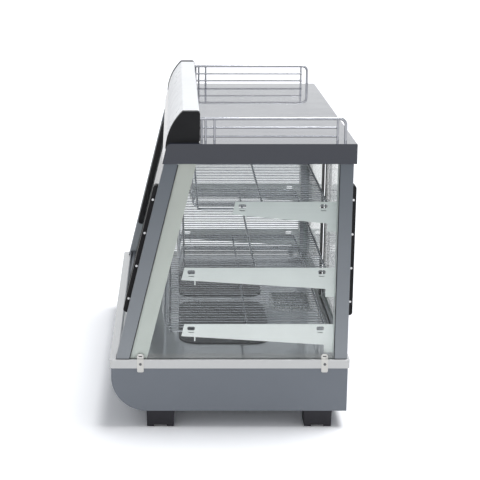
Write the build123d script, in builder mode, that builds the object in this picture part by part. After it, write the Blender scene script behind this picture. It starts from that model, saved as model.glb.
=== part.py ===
from build123d import *
import os
from math import cos, degrees, radians, sin, sqrt, tan

# A heated display counter. Millimetres, X along the counter, the front at -Y, +Z up from the floor.
# The origin is on the floor, under the middle of the whole counter.

# Overall sizes
width = 860
trim_depth = 503
foot_height = 36.5
base_height = 96.5
trim_height = 19
window_height = 416.5
roof_height = 41
sign_height = 63
window_lean = 13.75  # degrees that the front window leans back

# Sheet, glass and clearances
sheet = 1.2
glass = 4
play = 0.3  # between pieces that move past each other
pin_play = 0.08  # around a hinge pin or a shaft
edge_round = 1

# Base and feet
base_inset = 3.3  # the painted base stands back from the trim
base_radius = 75  # round lower front
end_sheet = 1.5
foot_length = 59
foot_width = 46
foot_taper = 1.5
foot_round = 3
foot_side_inset = 5
foot_front_inset = 106.5  # trim's front to the middle of the front feet
foot_rear_inset = 63.5
foot_notch_length = 27
foot_notch_height = 5

# Trim frame and deck
trim_corner = 6
trim_flange_front = 44
trim_flange_rear = 36
trim_flange_side = 38
trim_lower_flange = 10
deck_rim = 14

# Heating plates, elements and shields
plate_length = 305
plate_width = 197
plate_corner = 40
plate_thickness = 3
plate_seat = 12  # how far a plate lies over the deck
plate_side_gap = 20  # middle of the counter to a plate
plate_front_inset = 148
element_radius = 3.25
element_pitch = 40
element_runs = 4
element_bend = 18
element_end_margin = 30
shield_wall = 1
shield_height = 24

# Water pan
pan_length = 150
pan_width = 100
pan_rim = 7
pan_depth = 32
pan_wall = 1
pan_corner = 12
pan_side_play = 0.6
pan_offset = 15
pan_rear_inset = 89.5

# Posts, side panes and inner strips
post_front_inset = 13.7
post_rear_inset = 5.2
post_side_inset = 4
post_depth = 27
post_width = 30
post_wall = 1.5
post_round = 1.5
pane_side_inset = 6
pane_grip = 4  # how far a side pane enters a post
strip_gap = 1.2
strip_width = 35
strip_thickness = 1.5

# Clips that hold the side panes, with their screws
clip_width = 14
clip_above = 11
clip_below = 8.5
clip_front_inset = 65
clip_rear_inset = 52.6
clip_screw_radius = 1.6
clip_head_radius = 2.9
clip_head_height = 1.2
clip_screw_length = 6
clip_recess_radius = 0.9

# Uprights, shelf brackets and their slots
upright_width = 22
upright_sheet = 1.5
upright_end_margin = 12
slot_pitch = 17.5
slot_width = 4
slot_height = 10
post_groove = 7  # room behind the slots for the hooks
first_level = 70.4  # sill to the lowest bracket's upper edge
level_steps = (0, 7, 15)  # slot pitches of the three brackets above the lowest
bracket_sheet = 1.5
bracket_side_inset = 24.25  # trim's side to a bracket's outer face
long_bracket = 312.2
short_bracket = 208.2
bracket_nose = 26.5
bracket_nose_lean = 6.2
bracket_root = 45.5
bracket_tail = 63
bracket_tail_width = 18.7
bracket_slot_length = 15.5
bracket_slot_height = 8.5
bracket_slot_top = 5.3
bracket_front_slot_inset = 6.5
bracket_rear_slot_inset = 19.7
bracket_slit_height = 1.6
bracket_slit_length = 11.5
tab_drop = 19.2  # bracket's upper edge to the tab that carries a rack
tab_reach = 12
prong_width = 2.6
prong_length = 11
dimple_radius = 4
dimple_depth = 0.4
dimple_drop = 12.5
dimple_spacing = 145
hook_drop = 14.5
hook_height = 8
hook_lip = 4
hook_lip_depth = 3

# Wire racks
rack_rod_radius = 2.25
rack_wire_radius = 1.25
rack_weld = 0.4
rack_side_play = 0.8
rack_depths = (340, 309, 282)  # lowest to highest
rack_rear_inset = 46
rack_wire_gaps = 45
rack_wire_overhang = 9
rack_bend = 8
rack_corner = 12
fence_height = 31
fence_lean = 4
rack_lift = 22
pan_lift = 25

# Sliding doors, their tracks and handles
front_door_depth = 4  # post's outer face to the outer door
rear_door_depth = 1.5
door_spacing = 10.5
door_side_play = 0.5
door_overlap = 24
track_wall = 1
low_track_height = 12
low_track_floor = 3
high_track_height = 18
high_track_roof = 2
lift_room = 6  # above a door, so that it can be lifted out
door_stop_gap = 3
handle_length = 283
handle_width = 22
handle_thickness = 13
handle_inset = 13  # post's inner face to a handle's middle
handle_corner = 9
handle_end_round = 9
front_handle_rise = 227.1  # sill to the middle of a front handle
rear_handle_rise = 225
handle_screw_pitch = 72.7
handle_screw_count = 4
handle_screw_height = 7.5  # glass to the screw's middle
handle_screw_radius = 1.5
handle_screw_length = 9
handle_head_radius = 2.5
handle_head_height = 1.6

# Roof and lamp
roof_front_depth = -4  # the roof's front stands this far before the posts
roof_rear_overhang = 0.5
roof_front_round = 10
roof_edge_round = 2
roof_flange_front = 52
roof_flange_rear = 42
roof_flange_side = 38
liner_thickness = 1
liner_side_play = 1
lamp_length = 700
lamp_width = 22
lamp_height = 11
lamp_front_inset = 210

# Sign box on the roof
sign_side_inset = 15
sign_cap_thickness = 16
sign_tip_drop = 12.5  # roof's top to the lower tip of the end caps
sign_front_gap = 0.8  # in front of the roof's front face
sign_front_run = 35.1  # tip to the upper front edge
sign_top_run = 35
sign_sagitta = 7.8
sign_corner = 6
sign_foot = 4
sign_panel_drop = 4  # roof's top to the lower edge of the panel
sign_cap_lip = 1.5  # the caps stand proud of the box
sign_panel_thickness = 2.5
sign_lamp_height = 26
sign_lamp_depth = 9
sign_lamp_end_gap = 40

# Guard rails on the roof
rail_side_inset = 20
rail_height = 48
rail_front_inset = 191
rail_front_posts_gap = 8
rail_inner_front_inset = 217
rail_inner_rear_inset = 38
rail_rear_inset = 22
rail_bend = 13
rail_rod_radius = 3
rail_post_radius = 2.3
rail_wire_radius = 2
rail_wire_heights = (11, 29)
rail_weld = 0.5

# Controls in the rear panel
control_x = -250
control_width = 190
control_height = 62
control_recess = 9
control_flange = 7
control_wall = 1
knob_offset = 58
knob_radius = 19
knob_height = 17
knob_skirt = 3
knob_waist_radius = 16
knob_floor_gap = 0.6
knob_pointer_width = 2
knob_pointer_depth = 0.8
shaft_radius = 3
shaft_height = 11
thermostat_size = 38
thermostat_depth = 26
switch_offsets = (-12, -58)  # power switch and light switch
switch_width = 22
switch_height = 32
switch_bezel = 1.6
switch_body_inset = 1.2
switch_body_depth = 20
rocker_width = 15.4
rocker_height = 24
rocker_tilt = 10  # degrees each way
rocker_pivot_drop = 2.5
rocker_rise = 3
rocker_belly = 2
rocker_pin_radius = 1.4
rocker_pin_reach = 1.6
rocker_end_play = 0.5

# Cable gland, terminal block and air slots
gland_x = -110
gland_rise = 38
gland_bore_radius = 4
gland_hex_radius = 13
gland_hex_height = 7
gland_dome_radius = 10
gland_dome_height = 5
gland_thread_radius = 8
gland_thread_length = 13
gland_nut_height = 5
terminal_length = 70
terminal_width = 24
terminal_height = 20
terminal_poles = 6
terminal_hole_radius = 3
terminal_hole_depth = 8
terminal_rear_inset = 93
louvre_length = 90
louvre_height = 4
louvre_pitch_x = 120
louvre_pitch_z = 12
louvre_columns = 3
louvre_rows = 4
louvre_x = 190

# Levels
trim_bottom = foot_height + base_height
sill = trim_bottom + trim_height
deck_top = sill - sheet
deck_bottom = deck_top - sheet
roof_bottom = sill + window_height
roof_top = roof_bottom + roof_height
sign_top = roof_top + sign_height

# Plan
overall_depth = trim_depth + handle_thickness - post_rear_inset - rear_door_depth
front_y = -overall_depth / 2
rear_y = front_y + trim_depth
middle_y = (front_y + rear_y) / 2
side_x = width / 2
base_front = front_y + base_inset
base_rear = rear_y - base_inset
base_outer_x = side_x - base_inset
base_inner_x = base_outer_x - end_sheet
post_front_y = front_y + post_front_inset
post_rear_y = rear_y - post_rear_inset
post_outer_x = side_x - post_side_inset
post_inner_x = post_outer_x - post_width
pane_outer_x = side_x - pane_side_inset
pane_inner_x = pane_outer_x - glass
bracket_outer_x = side_x - bracket_side_inset
bracket_inner_x = bracket_outer_x - bracket_sheet
bracket_middle_x = (bracket_outer_x + bracket_inner_x) / 2
upright_rear = post_rear_y - post_depth
upright_front = upright_rear - upright_sheet
roof_rear = rear_y + roof_rear_overhang
levels = [sill + first_level + step * slot_pitch for step in level_steps]
bracket_lengths = (long_bracket, long_bracket, short_bracket)


def block(x_from, x_to, y_from, y_to, z_from, z_to, mode=Mode.ADD):
    """Put a box between two corners into the piece that is being built."""
    with Locations(((x_from + x_to) / 2, (y_from + y_to) / 2, (z_from + z_to) / 2)):
        Box(abs(x_to - x_from), abs(y_to - y_from), abs(z_to - z_from), mode=mode)


def window_y(front, depth, z):
    """Give Y at a depth behind the outer face of the front or rear posts, at a height."""
    if front:
        return post_front_y + (z - sill) * tan(radians(window_lean)) + depth / cos(radians(window_lean))
    return post_rear_y - depth


def window_face(front, depth_from, depth_to, z_from, z_to, mode=Mode.ADD):
    """Draw the side view of a bar that lies along the front or rear window."""
    with BuildLine() as outline:
        Polyline(
            (window_y(front, depth_from, z_from), z_from),
            (window_y(front, depth_to, z_from), z_from),
            (window_y(front, depth_to, z_to), z_to),
            (window_y(front, depth_from, z_to), z_to),
            close=True,
        )
    make_face(outline.edges(), mode=mode)


def rod(plane, points, bend, radius, close=False):
    """Add a round rod along a path with rounded bends, drawn on a plane, run by run."""
    below = plane.z_dir * -1
    with BuildLine(plane) as path:
        FilletPolyline(*points, radius=bend, close=close)
    for run in path.edges():
        with BuildSketch(Plane(origin=run @ 0, x_dir=below, z_dir=run % 0)) as section:
            Circle(radius)
        if run.geom_type == GeomType.LINE:
            extrude(section.sketch, amount=run.length)
        else:
            centre = run.arc_center
            turn_axis = Axis(centre, (run @ 0 - centre).cross(run % 0))
            revolve(section.sketch, axis=turn_axis, revolution_arc=degrees(run.length / bend))


def save(piece, name):
    """Label a finished piece and write it."""
    piece.label = name
    export_step(piece, f"parts/{name}.step")


# Base


def base_face(inset, rear, mode=Mode.ADD):
    """Draw the side view of the base, with its round lower front."""
    front = base_front + inset
    bottom = foot_height + inset
    radius = min(base_radius, base_height - 2 * sheet) - inset
    with BuildLine() as outline:
        CenterArc((front + radius, bottom + radius), radius, 180, 90)
        Polyline(
            (front + radius, bottom),
            (rear, bottom),
            (rear, trim_bottom),
            (front, trim_bottom),
            (front, bottom + radius),
        )
    make_face(outline.edges(), mode=mode)


def make_base_shell():
    """Front and floor of the base, one sheet bent round the lower front."""
    rear = base_rear - sheet
    with BuildPart() as shell:
        with BuildSketch(Plane.YZ.offset(-base_inner_x)):
            base_face(0, rear)
            base_face(sheet, rear, Mode.SUBTRACT)
        extrude(amount=2 * base_inner_x)
    return shell.part


def make_base_end(side):
    """One painted end panel of the base."""
    with BuildPart() as panel:
        with BuildSketch(Plane.YZ.offset(side * base_inner_x)):
            base_face(0, base_rear)
        extrude(amount=side * end_sheet)
        outer = panel.faces().sort_by(Axis.X)[-1 if side > 0 else 0]
        fillet(outer.edges(), min(edge_round, end_sheet * 2 / 3))
    return panel.part


def make_base_rear():
    """Rear panel of the base, with openings for the controls, the cable and air."""
    with BuildPart() as panel:
        block(-base_inner_x, base_inner_x, base_rear - sheet, base_rear, foot_height, trim_bottom)
        block(
            control_x - control_width / 2,
            control_x + control_width / 2,
            base_rear - sheet,
            base_rear,
            control_z - control_height / 2,
            control_z + control_height / 2,
            Mode.SUBTRACT,
        )
        with BuildSketch(Plane(origin=(gland_x, base_rear, gland_z), x_dir=(-1, 0, 0), z_dir=(0, 1, 0))):
            Circle(gland_thread_radius + play)
        extrude(amount=-sheet, mode=Mode.SUBTRACT)
        with BuildSketch(Plane(origin=(louvre_x, base_rear, control_z), x_dir=(-1, 0, 0), z_dir=(0, 1, 0))):
            with GridLocations(louvre_pitch_x, louvre_pitch_z, louvre_columns, louvre_rows):
                SlotOverall(louvre_length, louvre_height)
        extrude(amount=-sheet, mode=Mode.SUBTRACT)
    return panel.part


foot_x = side_x - foot_side_inset - foot_width / 2
foot_front_y = front_y + foot_front_inset
foot_rear_y = rear_y - foot_rear_inset


def make_feet():
    """Four black feet, a little tapered, with a notch under each."""
    places = [(x, y) for x in (-foot_x, foot_x) for y in (foot_front_y, foot_rear_y)]
    with BuildPart() as feet:
        with BuildSketch(Plane.XY.offset(foot_height)):
            with Locations(*places):
                Rectangle(foot_width, foot_length)
        extrude(amount=-foot_height, taper=foot_taper)
        fillet(feet.edges().group_by(Axis.Z)[0], foot_round)
        with Locations(*[(x, y, foot_notch_height / 2) for x, y in places]):
            Box(foot_width, foot_notch_length, foot_notch_height, mode=Mode.SUBTRACT)
    return feet.part


# Trim frame and deck

clip_ys = (front_y + clip_front_inset, rear_y - clip_rear_inset)
clip_screw_z = trim_bottom + trim_height / 2


def clip_screw_places(x):
    """Give the places of the clip screws on one side, along X."""
    return [Location((x, y, clip_screw_z), (0, 90, 0)) for y in clip_ys]


def make_trim():
    """Stainless frame round the deck: a wall with a wide upper and a narrow lower flange."""
    with BuildPart() as trim:
        with BuildSketch(Plane.XY.offset(trim_bottom)):
            with Locations((0, middle_y)):
                RectangleRounded(width, trim_depth, trim_corner)
        extrude(amount=trim_height)
        fillet(trim.faces().sort_by(Axis.Z)[-1].outer_wire().edges(), edge_round)
        with BuildSketch(Plane.XY.offset(trim_bottom + sheet)):
            with Locations((0, middle_y)):
                RectangleRounded(width - 2 * sheet, trim_depth - 2 * sheet, trim_corner - sheet)
        extrude(amount=trim_height - 2 * sheet, mode=Mode.SUBTRACT)
        block(
            trim_flange_side - side_x,
            side_x - trim_flange_side,
            front_y + trim_flange_front,
            rear_y - trim_flange_rear,
            deck_top,
            sill,
            Mode.SUBTRACT,
        )
        block(
            trim_lower_flange - side_x,
            side_x - trim_lower_flange,
            front_y + trim_lower_flange,
            rear_y - trim_lower_flange,
            trim_bottom,
            trim_bottom + sheet,
            Mode.SUBTRACT,
        )
        with Locations(*clip_screw_places(side_x), *clip_screw_places(-side_x)):
            Cylinder(clip_screw_radius + pin_play, clip_screw_length, mode=Mode.SUBTRACT)
    return trim.part


plate_y = front_y + plate_front_inset + plate_width / 2
plate_x = plate_side_gap + plate_length / 2
pan_y = rear_y - pan_rear_inset
pan_body_length = pan_length - 2 * pan_rim
pan_body_width = pan_width - 2 * pan_rim
window_length = plate_length - 2 * plate_seat
window_width = plate_width - 2 * plate_seat


def make_deck():
    """Stainless deck under the trim's upper flange, with openings for the plates and the pan."""
    deck_length = width - 2 * (sheet + play)
    deck_depth = trim_depth - 2 * (sheet + play)
    with BuildPart() as deck:
        with BuildSketch(Plane.XY.offset(deck_top)):
            with Locations((0, middle_y)):
                RectangleRounded(deck_length, deck_depth, trim_corner)
        extrude(amount=-deck_rim)
        with BuildSketch(Plane.XY.offset(deck_bottom)):
            with Locations((0, middle_y)):
                RectangleRounded(deck_length - 2 * sheet, deck_depth - 2 * sheet, trim_corner - sheet)
        extrude(amount=sheet - deck_rim, mode=Mode.SUBTRACT)
        with Locations(*clip_screw_places(side_x), *clip_screw_places(-side_x)):
            Cylinder(clip_screw_radius + play, 2 * clip_screw_length, mode=Mode.SUBTRACT)
        with BuildSketch(Plane.XY.offset(deck_top)):
            with Locations((-plate_x, plate_y), (plate_x, plate_y)):
                RectangleRounded(window_length, window_width, plate_corner - plate_seat)
            with Locations((pan_offset, pan_y)):
                RectangleRounded(
                    pan_body_length + 2 * pan_side_play,
                    pan_body_width + 2 * pan_side_play,
                    pan_corner + pan_side_play,
                )
        extrude(amount=-sheet, mode=Mode.SUBTRACT)
    return deck.part


def make_heat_plates():
    """Two black heating plates that lie in the deck."""
    with BuildPart() as plates:
        with BuildSketch(Plane.XY.offset(deck_top)):
            with Locations((-plate_x, plate_y), (plate_x, plate_y)):
                RectangleRounded(plate_length, plate_width, plate_corner)
        extrude(amount=plate_thickness)
        fillet(plates.edges().group_by(Axis.Z)[-1], edge_round)
    return plates.part


element_z = deck_bottom - play - element_radius
element_half = window_length / 2 - element_end_margin


def element_points(x):
    """Give the corners of a heating element's path, run by run, from end to end."""
    points = []
    for run in range(element_runs):
        y = plate_y + (run - (element_runs - 1) / 2) * element_pitch
        ends = (x - element_half, x + element_half)
        if run % 2:
            ends = ends[::-1]
        points += [(ends[0], y), (ends[1], y)]
    inner = x - window_length / 2 - 2 * shield_wall
    return [(inner, points[0][1])] + points[1:-1] + [(inner, points[-1][1])]


def make_elements():
    """Two tubular heating elements under the plates."""
    with BuildPart() as elements:
        for x in (-plate_x, plate_x):
            rod(Plane.XY.offset(element_z), element_points(x), element_bend, element_radius)
    return elements.part


def make_shields():
    """Two open boxes under the deck that keep the heat off the wiring and hold the elements."""
    with BuildPart() as shields:
        for x in (-plate_x, plate_x):
            with BuildSketch(Plane.XY.offset(deck_bottom)):
                with Locations((x, plate_y)):
                    Rectangle(window_length + 2 * shield_wall, window_width + 2 * shield_wall)
            extrude(amount=-shield_height)
            with BuildSketch(Plane.XY.offset(deck_bottom)):
                with Locations((x, plate_y)):
                    Rectangle(window_length, window_width)
            extrude(amount=shield_wall - shield_height, mode=Mode.SUBTRACT)
            ends = (element_points(x)[0], element_points(x)[-1])
            with Locations(*[Location((end[0], end[1], element_z), (0, 90, 0)) for end in ends]):
                Cylinder(element_radius + 2 * play, 4 * shield_wall, mode=Mode.SUBTRACT)
    return shields.part


def make_water_pan():
    """Lift-out water pan, hung by its rim on the deck."""
    rim_z = deck_top + play
    with BuildPart() as pan:
        with BuildSketch(Plane.XY.offset(rim_z + pan_wall)):
            with Locations((pan_offset, pan_y)):
                RectangleRounded(pan_body_length, pan_body_width, pan_corner)
        extrude(amount=-pan_depth)
        fillet(pan.edges().group_by(Axis.Z)[0], pan_corner / 2)
        offset(amount=-pan_wall, openings=pan.faces().sort_by(Axis.Z)[-1])
        with BuildSketch(Plane.XY.offset(rim_z)):
            with Locations((pan_offset, pan_y)):
                RectangleRounded(pan_length, pan_width, pan_corner + pan_rim)
                RectangleRounded(
                    pan_body_length - 2 * pan_wall,
                    pan_body_width - 2 * pan_wall,
                    pan_corner - pan_wall,
                    mode=Mode.SUBTRACT,
                )
        extrude(amount=pan_wall)
    return pan.part


# Posts, side panes, strips and clips


def make_post(front, side):
    """One corner post, a folded tube slotted for the side pane and, at the rear, for the hooks."""
    with BuildPart() as post:
        with BuildSketch(Plane.YZ.offset(side * post_inner_x)):
            window_face(front, 0, post_depth, sill, roof_bottom)
        extrude(amount=side * post_width)
        long_edges = post.edges().filter_by(lambda edge: edge.length > window_height - sheet)
        fillet(long_edges, post_round)
        with BuildSketch(Plane.YZ.offset(side * (post_inner_x + post_wall))):
            window_face(front, post_wall, post_depth - post_wall, sill, roof_bottom)
        extrude(amount=side * (post_width - 2 * post_wall), mode=Mode.SUBTRACT)
        with BuildSketch(Plane.YZ.offset(side * (pane_inner_x - play))):
            window_face(front, post_depth - 2 * post_wall, post_depth, sill, roof_bottom)
        extrude(amount=side * (glass + 2 * play), mode=Mode.SUBTRACT)
        if not front:
            block(
                side * bracket_middle_x - post_groove / 2,
                side * bracket_middle_x + post_groove / 2,
                upright_rear - post_wall,
                upright_rear + 2 * post_wall,
                sill + upright_end_margin / 2,
                roof_bottom - upright_end_margin / 2,
                Mode.SUBTRACT,
            )
    return post.part


def make_side_pane(side):
    """Fixed glass between a front and a rear post."""
    grip = post_depth - pane_grip
    with BuildPart() as pane:
        with BuildSketch(Plane.YZ.offset(side * pane_inner_x)):
            with BuildLine():
                Polyline(
                    (window_y(True, grip, sill), sill),
                    (window_y(False, grip, sill), sill),
                    (window_y(False, grip, roof_bottom), roof_bottom),
                    (window_y(True, grip, roof_bottom), roof_bottom),
                    close=True,
                )
            make_face()
        extrude(amount=side * glass)
    return pane.part


def make_inner_strips():
    """Stainless strips behind the side panes, along the front posts."""
    start = post_depth + strip_gap
    with BuildPart() as strips:
        with BuildSketch(Plane.YZ.offset(pane_inner_x)):
            window_face(True, start, start + strip_width, sill, roof_bottom)
        extrude(amount=-strip_thickness)
        mirror(about=Plane.YZ)
    return strips.part


def make_clips():
    """Four spring clips, screwed to the trim, that hold the side panes."""
    with BuildPart() as clips:
        for y in clip_ys:
            y_from = y - clip_width / 2
            y_to = y + clip_width / 2
            block(side_x, side_x + sheet, y_from, y_to, trim_bottom - clip_below, sill + sheet)
            block(pane_outer_x, side_x, y_from, y_to, sill, sill + sheet)
            block(pane_outer_x, pane_outer_x + sheet, y_from, y_to, sill, sill + clip_above)
        with Locations(*clip_screw_places(side_x + sheet)):
            Cylinder(clip_screw_radius + pin_play, 4 * sheet, mode=Mode.SUBTRACT)
        mirror(about=Plane.YZ)
    return clips.part


def make_clip_screws():
    """Screws of the glass clips, with a small recess in each head."""
    head_x = side_x + sheet
    with BuildPart() as screws:
        with Locations(*clip_screw_places(head_x + clip_head_height / 2)):
            Cylinder(clip_head_radius, clip_head_height)
        with Locations(*clip_screw_places(head_x - clip_screw_length / 2)):
            Cylinder(clip_screw_radius, clip_screw_length)
        with Locations(*clip_screw_places(head_x + clip_head_height)):
            Cylinder(clip_recess_radius, clip_head_height, mode=Mode.SUBTRACT)
        mirror(about=Plane.YZ)
    return screws.part


# Uprights, shelf brackets and racks


def make_uprights():
    """Slotted strips on the rear posts that the shelf brackets hook into."""
    hook_z = levels[0] - hook_drop
    below = int((hook_z - sill - upright_end_margin) // slot_pitch)
    above = int((roof_bottom - upright_end_margin - hook_z) // slot_pitch)
    slot_zs = [hook_z + step * slot_pitch for step in range(-below, above + 1)]
    outer_x = post_inner_x + upright_width
    with BuildPart() as uprights:
        block(post_inner_x, outer_x, upright_front, upright_rear, sill, roof_bottom)
        with Locations(*[(bracket_middle_x, upright_rear, z) for z in slot_zs]):
            Box(slot_width, 4 * upright_sheet, slot_height, mode=Mode.SUBTRACT)
        mirror(about=Plane.YZ)
    return uprights.part


def bracket_outline(top, length):
    """Draw a shelf bracket's side view: a plate that grows deeper to the rear, with a tail."""
    rear = upright_front - play
    nose = rear - length
    tail = rear - bracket_tail_width
    with BuildLine() as outline:
        Polyline(
            (rear, top),
            (nose, top),
            (nose - bracket_nose_lean, top - bracket_nose),
            (tail, top - bracket_root),
            (tail, top - bracket_tail),
            (rear, top - bracket_tail),
            close=True,
        )
    make_face(outline.edges())
    return nose, rear


def make_bracket(side, top, length):
    """One shelf bracket with its slots, the tabs that carry the rack, and its hooks."""
    slot_z = top - bracket_slot_top - bracket_slot_height / 2
    slit_z = top - tab_drop + bracket_slit_height / 2
    with BuildPart() as bracket:
        with BuildSketch(Plane.YZ.offset(side * bracket_inner_x)):
            nose, rear = bracket_outline(top, length)
            front_slot = nose + bracket_front_slot_inset + bracket_slot_length / 2
            rear_slot = rear - bracket_rear_slot_inset - bracket_slot_length / 2
            slots = (front_slot, rear_slot)
            with Locations(*[(y, slot_z) for y in slots]):
                RectangleRounded(
                    bracket_slot_length, bracket_slot_height, bracket_slot_height / 3, mode=Mode.SUBTRACT
                )
            with Locations(*[(y, slit_z) for y in slots]):
                Rectangle(bracket_slit_length, bracket_slit_height, mode=Mode.SUBTRACT)
        extrude(amount=side * bracket_sheet)
        for y in slots:
            tab_top = top - tab_drop
            half = bracket_slit_length / 2
            inner = side * (bracket_inner_x - tab_reach)
            block(side * bracket_inner_x, inner, y - half, y + half, tab_top - bracket_sheet, tab_top)
        prong_y = front_slot + bracket_slot_length / 2
        nose_bottom = top - bracket_nose
        block(
            side * bracket_inner_x,
            side * bracket_outer_x,
            prong_y - prong_width / 2,
            prong_y + prong_width / 2,
            nose_bottom - prong_length,
            nose_bottom,
        )
        middle = (front_slot + rear_slot) / 2
        spacing = min(dimple_spacing, length / 2)
        dimples = [(middle - spacing / 2, top - dimple_drop), (middle + spacing / 2, top - dimple_drop)]
        with Locations(*[Location((side * bracket_outer_x, y, z), (0, 90, 0)) for y, z in dimples]):
            Cylinder(dimple_radius, 2 * dimple_depth, mode=Mode.SUBTRACT)
        for hook_z in (top - hook_drop, top - hook_drop - slot_pitch):
            low = hook_z - hook_height / 2
            high = hook_z + hook_height / 2
            behind = upright_rear + play
            lip = behind + hook_lip_depth
            block(side * bracket_inner_x, side * bracket_outer_x, rear, lip, low, high)
            block(side * bracket_inner_x, side * bracket_outer_x, behind, lip, low - hook_lip, low)
    return bracket.part


def make_brackets(side):
    """The three shelf brackets of one side."""
    plates = [make_bracket(side, top, length) for top, length in zip(levels, bracket_lengths)]
    with BuildPart() as brackets:
        add(plates)
    return brackets.part


rack_half = bracket_inner_x - rack_side_play
rack_rear = rear_y - rack_rear_inset


def make_rack(top, depth):
    """One chrome wire rack with its front turned up into a fence."""
    frame_z = top - tab_drop + play + rack_rod_radius
    wire_z = frame_z + rack_rod_radius + rack_wire_radius - rack_weld
    front = rack_rear - depth
    rod_x = rack_half - rack_rod_radius
    rear_rod = rack_rear - rack_rod_radius
    front_rod = front + rack_wire_overhang
    pitch = 2 * rod_x / rack_wire_gaps
    wire_points = [(rack_rear, wire_z), (front, wire_z), (front - fence_lean, wire_z + fence_height)]
    frame_points = [(-rod_x, front_rod), (rod_x, front_rod), (rod_x, rear_rod), (-rod_x, rear_rod)]
    with BuildPart() as wire:
        rod(Plane.YZ, wire_points, rack_bend, rack_wire_radius)
    with BuildPart() as rack:
        rod(Plane.XY.offset(frame_z), frame_points, rack_corner, rack_rod_radius, close=True)
        with Locations(Location((0, (front_rod + rear_rod) / 2, frame_z), (0, 90, 0))):
            Cylinder(rack_rod_radius, 2 * rod_x)
        with Locations(Location((0, front - fence_lean, wire_z + fence_height), (0, -90, 0))):
            Cylinder(rack_rod_radius, 2 * (rod_x - pitch) + 2 * rack_rod_radius)
        with GridLocations(pitch, 0, rack_wire_gaps - 1, 1):
            add(wire.part)
    return rack.part


# Sliding doors, tracks and handles


def door_depth(front, outer):
    """Give how far a door lies behind the posts' outer face."""
    first = front_door_depth if front else rear_door_depth
    return first if outer else first + door_spacing


def make_track(front, at_top):
    """A two-groove track for a pair of sliding doors."""
    depth_from = door_depth(front, True) - play - track_wall
    depth_to = door_depth(front, False) + glass + play + track_wall
    if at_top:
        z_from, z_to = roof_bottom - high_track_height, roof_bottom
        groove_from, groove_to = z_from, z_to - high_track_roof
    else:
        z_from, z_to = sill, sill + low_track_height
        groove_from, groove_to = z_from + low_track_floor, z_to
    with BuildPart() as track:
        with BuildSketch(Plane.YZ.offset(-post_inner_x)):
            window_face(front, depth_from, depth_to, z_from, z_to)
            for outer in (True, False):
                depth = door_depth(front, outer)
                window_face(front, depth - play, depth + glass + play, groove_from, groove_to, Mode.SUBTRACT)
        extrude(amount=2 * post_inner_x)
    return track.part


door_outer_x = post_inner_x - door_side_play
door_width = door_outer_x + door_overlap / 2
door_bottom = sill + low_track_floor + play
door_top = roof_bottom - high_track_roof - lift_room
handle_x = post_inner_x - handle_inset


def make_door_glass(front, side):
    """One sliding glass door. The door on the +X side runs in the outer groove."""
    depth = door_depth(front, side > 0)
    with BuildPart() as door:
        with BuildSketch(Plane.YZ.offset(side * door_outer_x)):
            window_face(front, depth, depth + glass, door_bottom, door_top)
        extrude(amount=-side * door_width)
    return door.part


def handle_plane(front, side):
    """Give the plane on a door's outer face at the middle of its handle, facing out."""
    z = sill + (front_handle_rise if front else rear_handle_rise)
    y = window_y(front, door_depth(front, side > 0), z)
    if front:
        lean = radians(window_lean)
        return Plane(origin=(side * handle_x, y, z), x_dir=(1, 0, 0), z_dir=(0, -cos(lean), sin(lean)))
    return Plane(origin=(side * handle_x, y, z), x_dir=(-1, 0, 0), z_dir=(0, 1, 0))


def handle_screw_places(front, side, reach):
    """Give the places of a handle's screws, at a distance out from its middle, along X."""
    plane = handle_plane(front, side)
    across = side * reach * plane.x_dir.X
    first = -handle_screw_pitch * (handle_screw_count - 1) / 2
    rows = [first + step * handle_screw_pitch for step in range(handle_screw_count)]
    return [plane.location * Location((across, row, handle_screw_height), (0, 90, 0)) for row in rows]


def make_handle(front, side):
    """A black upright handle with rounded ends and side holes for its screws."""
    plane = handle_plane(front, side)
    with BuildPart() as handle:
        with BuildSketch(plane):
            RectangleRounded(handle_width, handle_length, handle_corner)
        extrude(amount=handle_thickness)
        with BuildSketch(Plane(origin=plane.origin, x_dir=plane.y_dir, z_dir=plane.x_dir)) as profile:
            Rectangle(handle_length, handle_thickness, align=(Align.CENTER, Align.MIN))
            fillet(profile.vertices().group_by(Axis.Y)[-1], handle_end_round)
        extrude(amount=handle_width / 2, both=True, mode=Mode.INTERSECT)
        edge = handle_width / 2
        with Locations(*handle_screw_places(front, side, edge)):
            Cylinder(handle_head_radius + play, 2 * handle_head_height, mode=Mode.SUBTRACT)
        with Locations(*handle_screw_places(front, side, edge - handle_screw_length / 2)):
            Cylinder(handle_screw_radius + pin_play, handle_screw_length, mode=Mode.SUBTRACT)
    return handle.part


def make_handle_screws(front, side):
    """The bright side screws of one handle."""
    edge = handle_width / 2
    with BuildPart() as screws:
        with Locations(*handle_screw_places(front, side, edge - handle_head_height / 2)):
            Cylinder(handle_head_radius, handle_head_height)
        with Locations(*handle_screw_places(front, side, edge - handle_screw_length / 2)):
            Cylinder(handle_screw_radius, handle_screw_length)
    return screws.part


# Roof and lamp


def roof_face(inset, mode=Mode.ADD):
    """Draw the roof's side view, with its leaning front and rounded upper edges."""
    bottom = roof_bottom + inset
    top = roof_top - inset
    front_depth = roof_front_depth + inset
    corners = [
        (window_y(True, front_depth, bottom), bottom),
        (roof_rear - inset, bottom),
        (roof_rear - inset, top),
        (window_y(True, front_depth, top), top),
    ]
    with BuildSketch() as outline:
        with BuildLine():
            Polyline(*corners, close=True)
        make_face()
        fillet(outline.vertices().group_by(Axis.Y)[-1].sort_by(Axis.X)[0], roof_front_round - inset)
        fillet(outline.vertices().group_by(Axis.Y)[-1].sort_by(Axis.X)[-1], roof_edge_round)
    add(outline.sketch, mode=mode)


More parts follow.
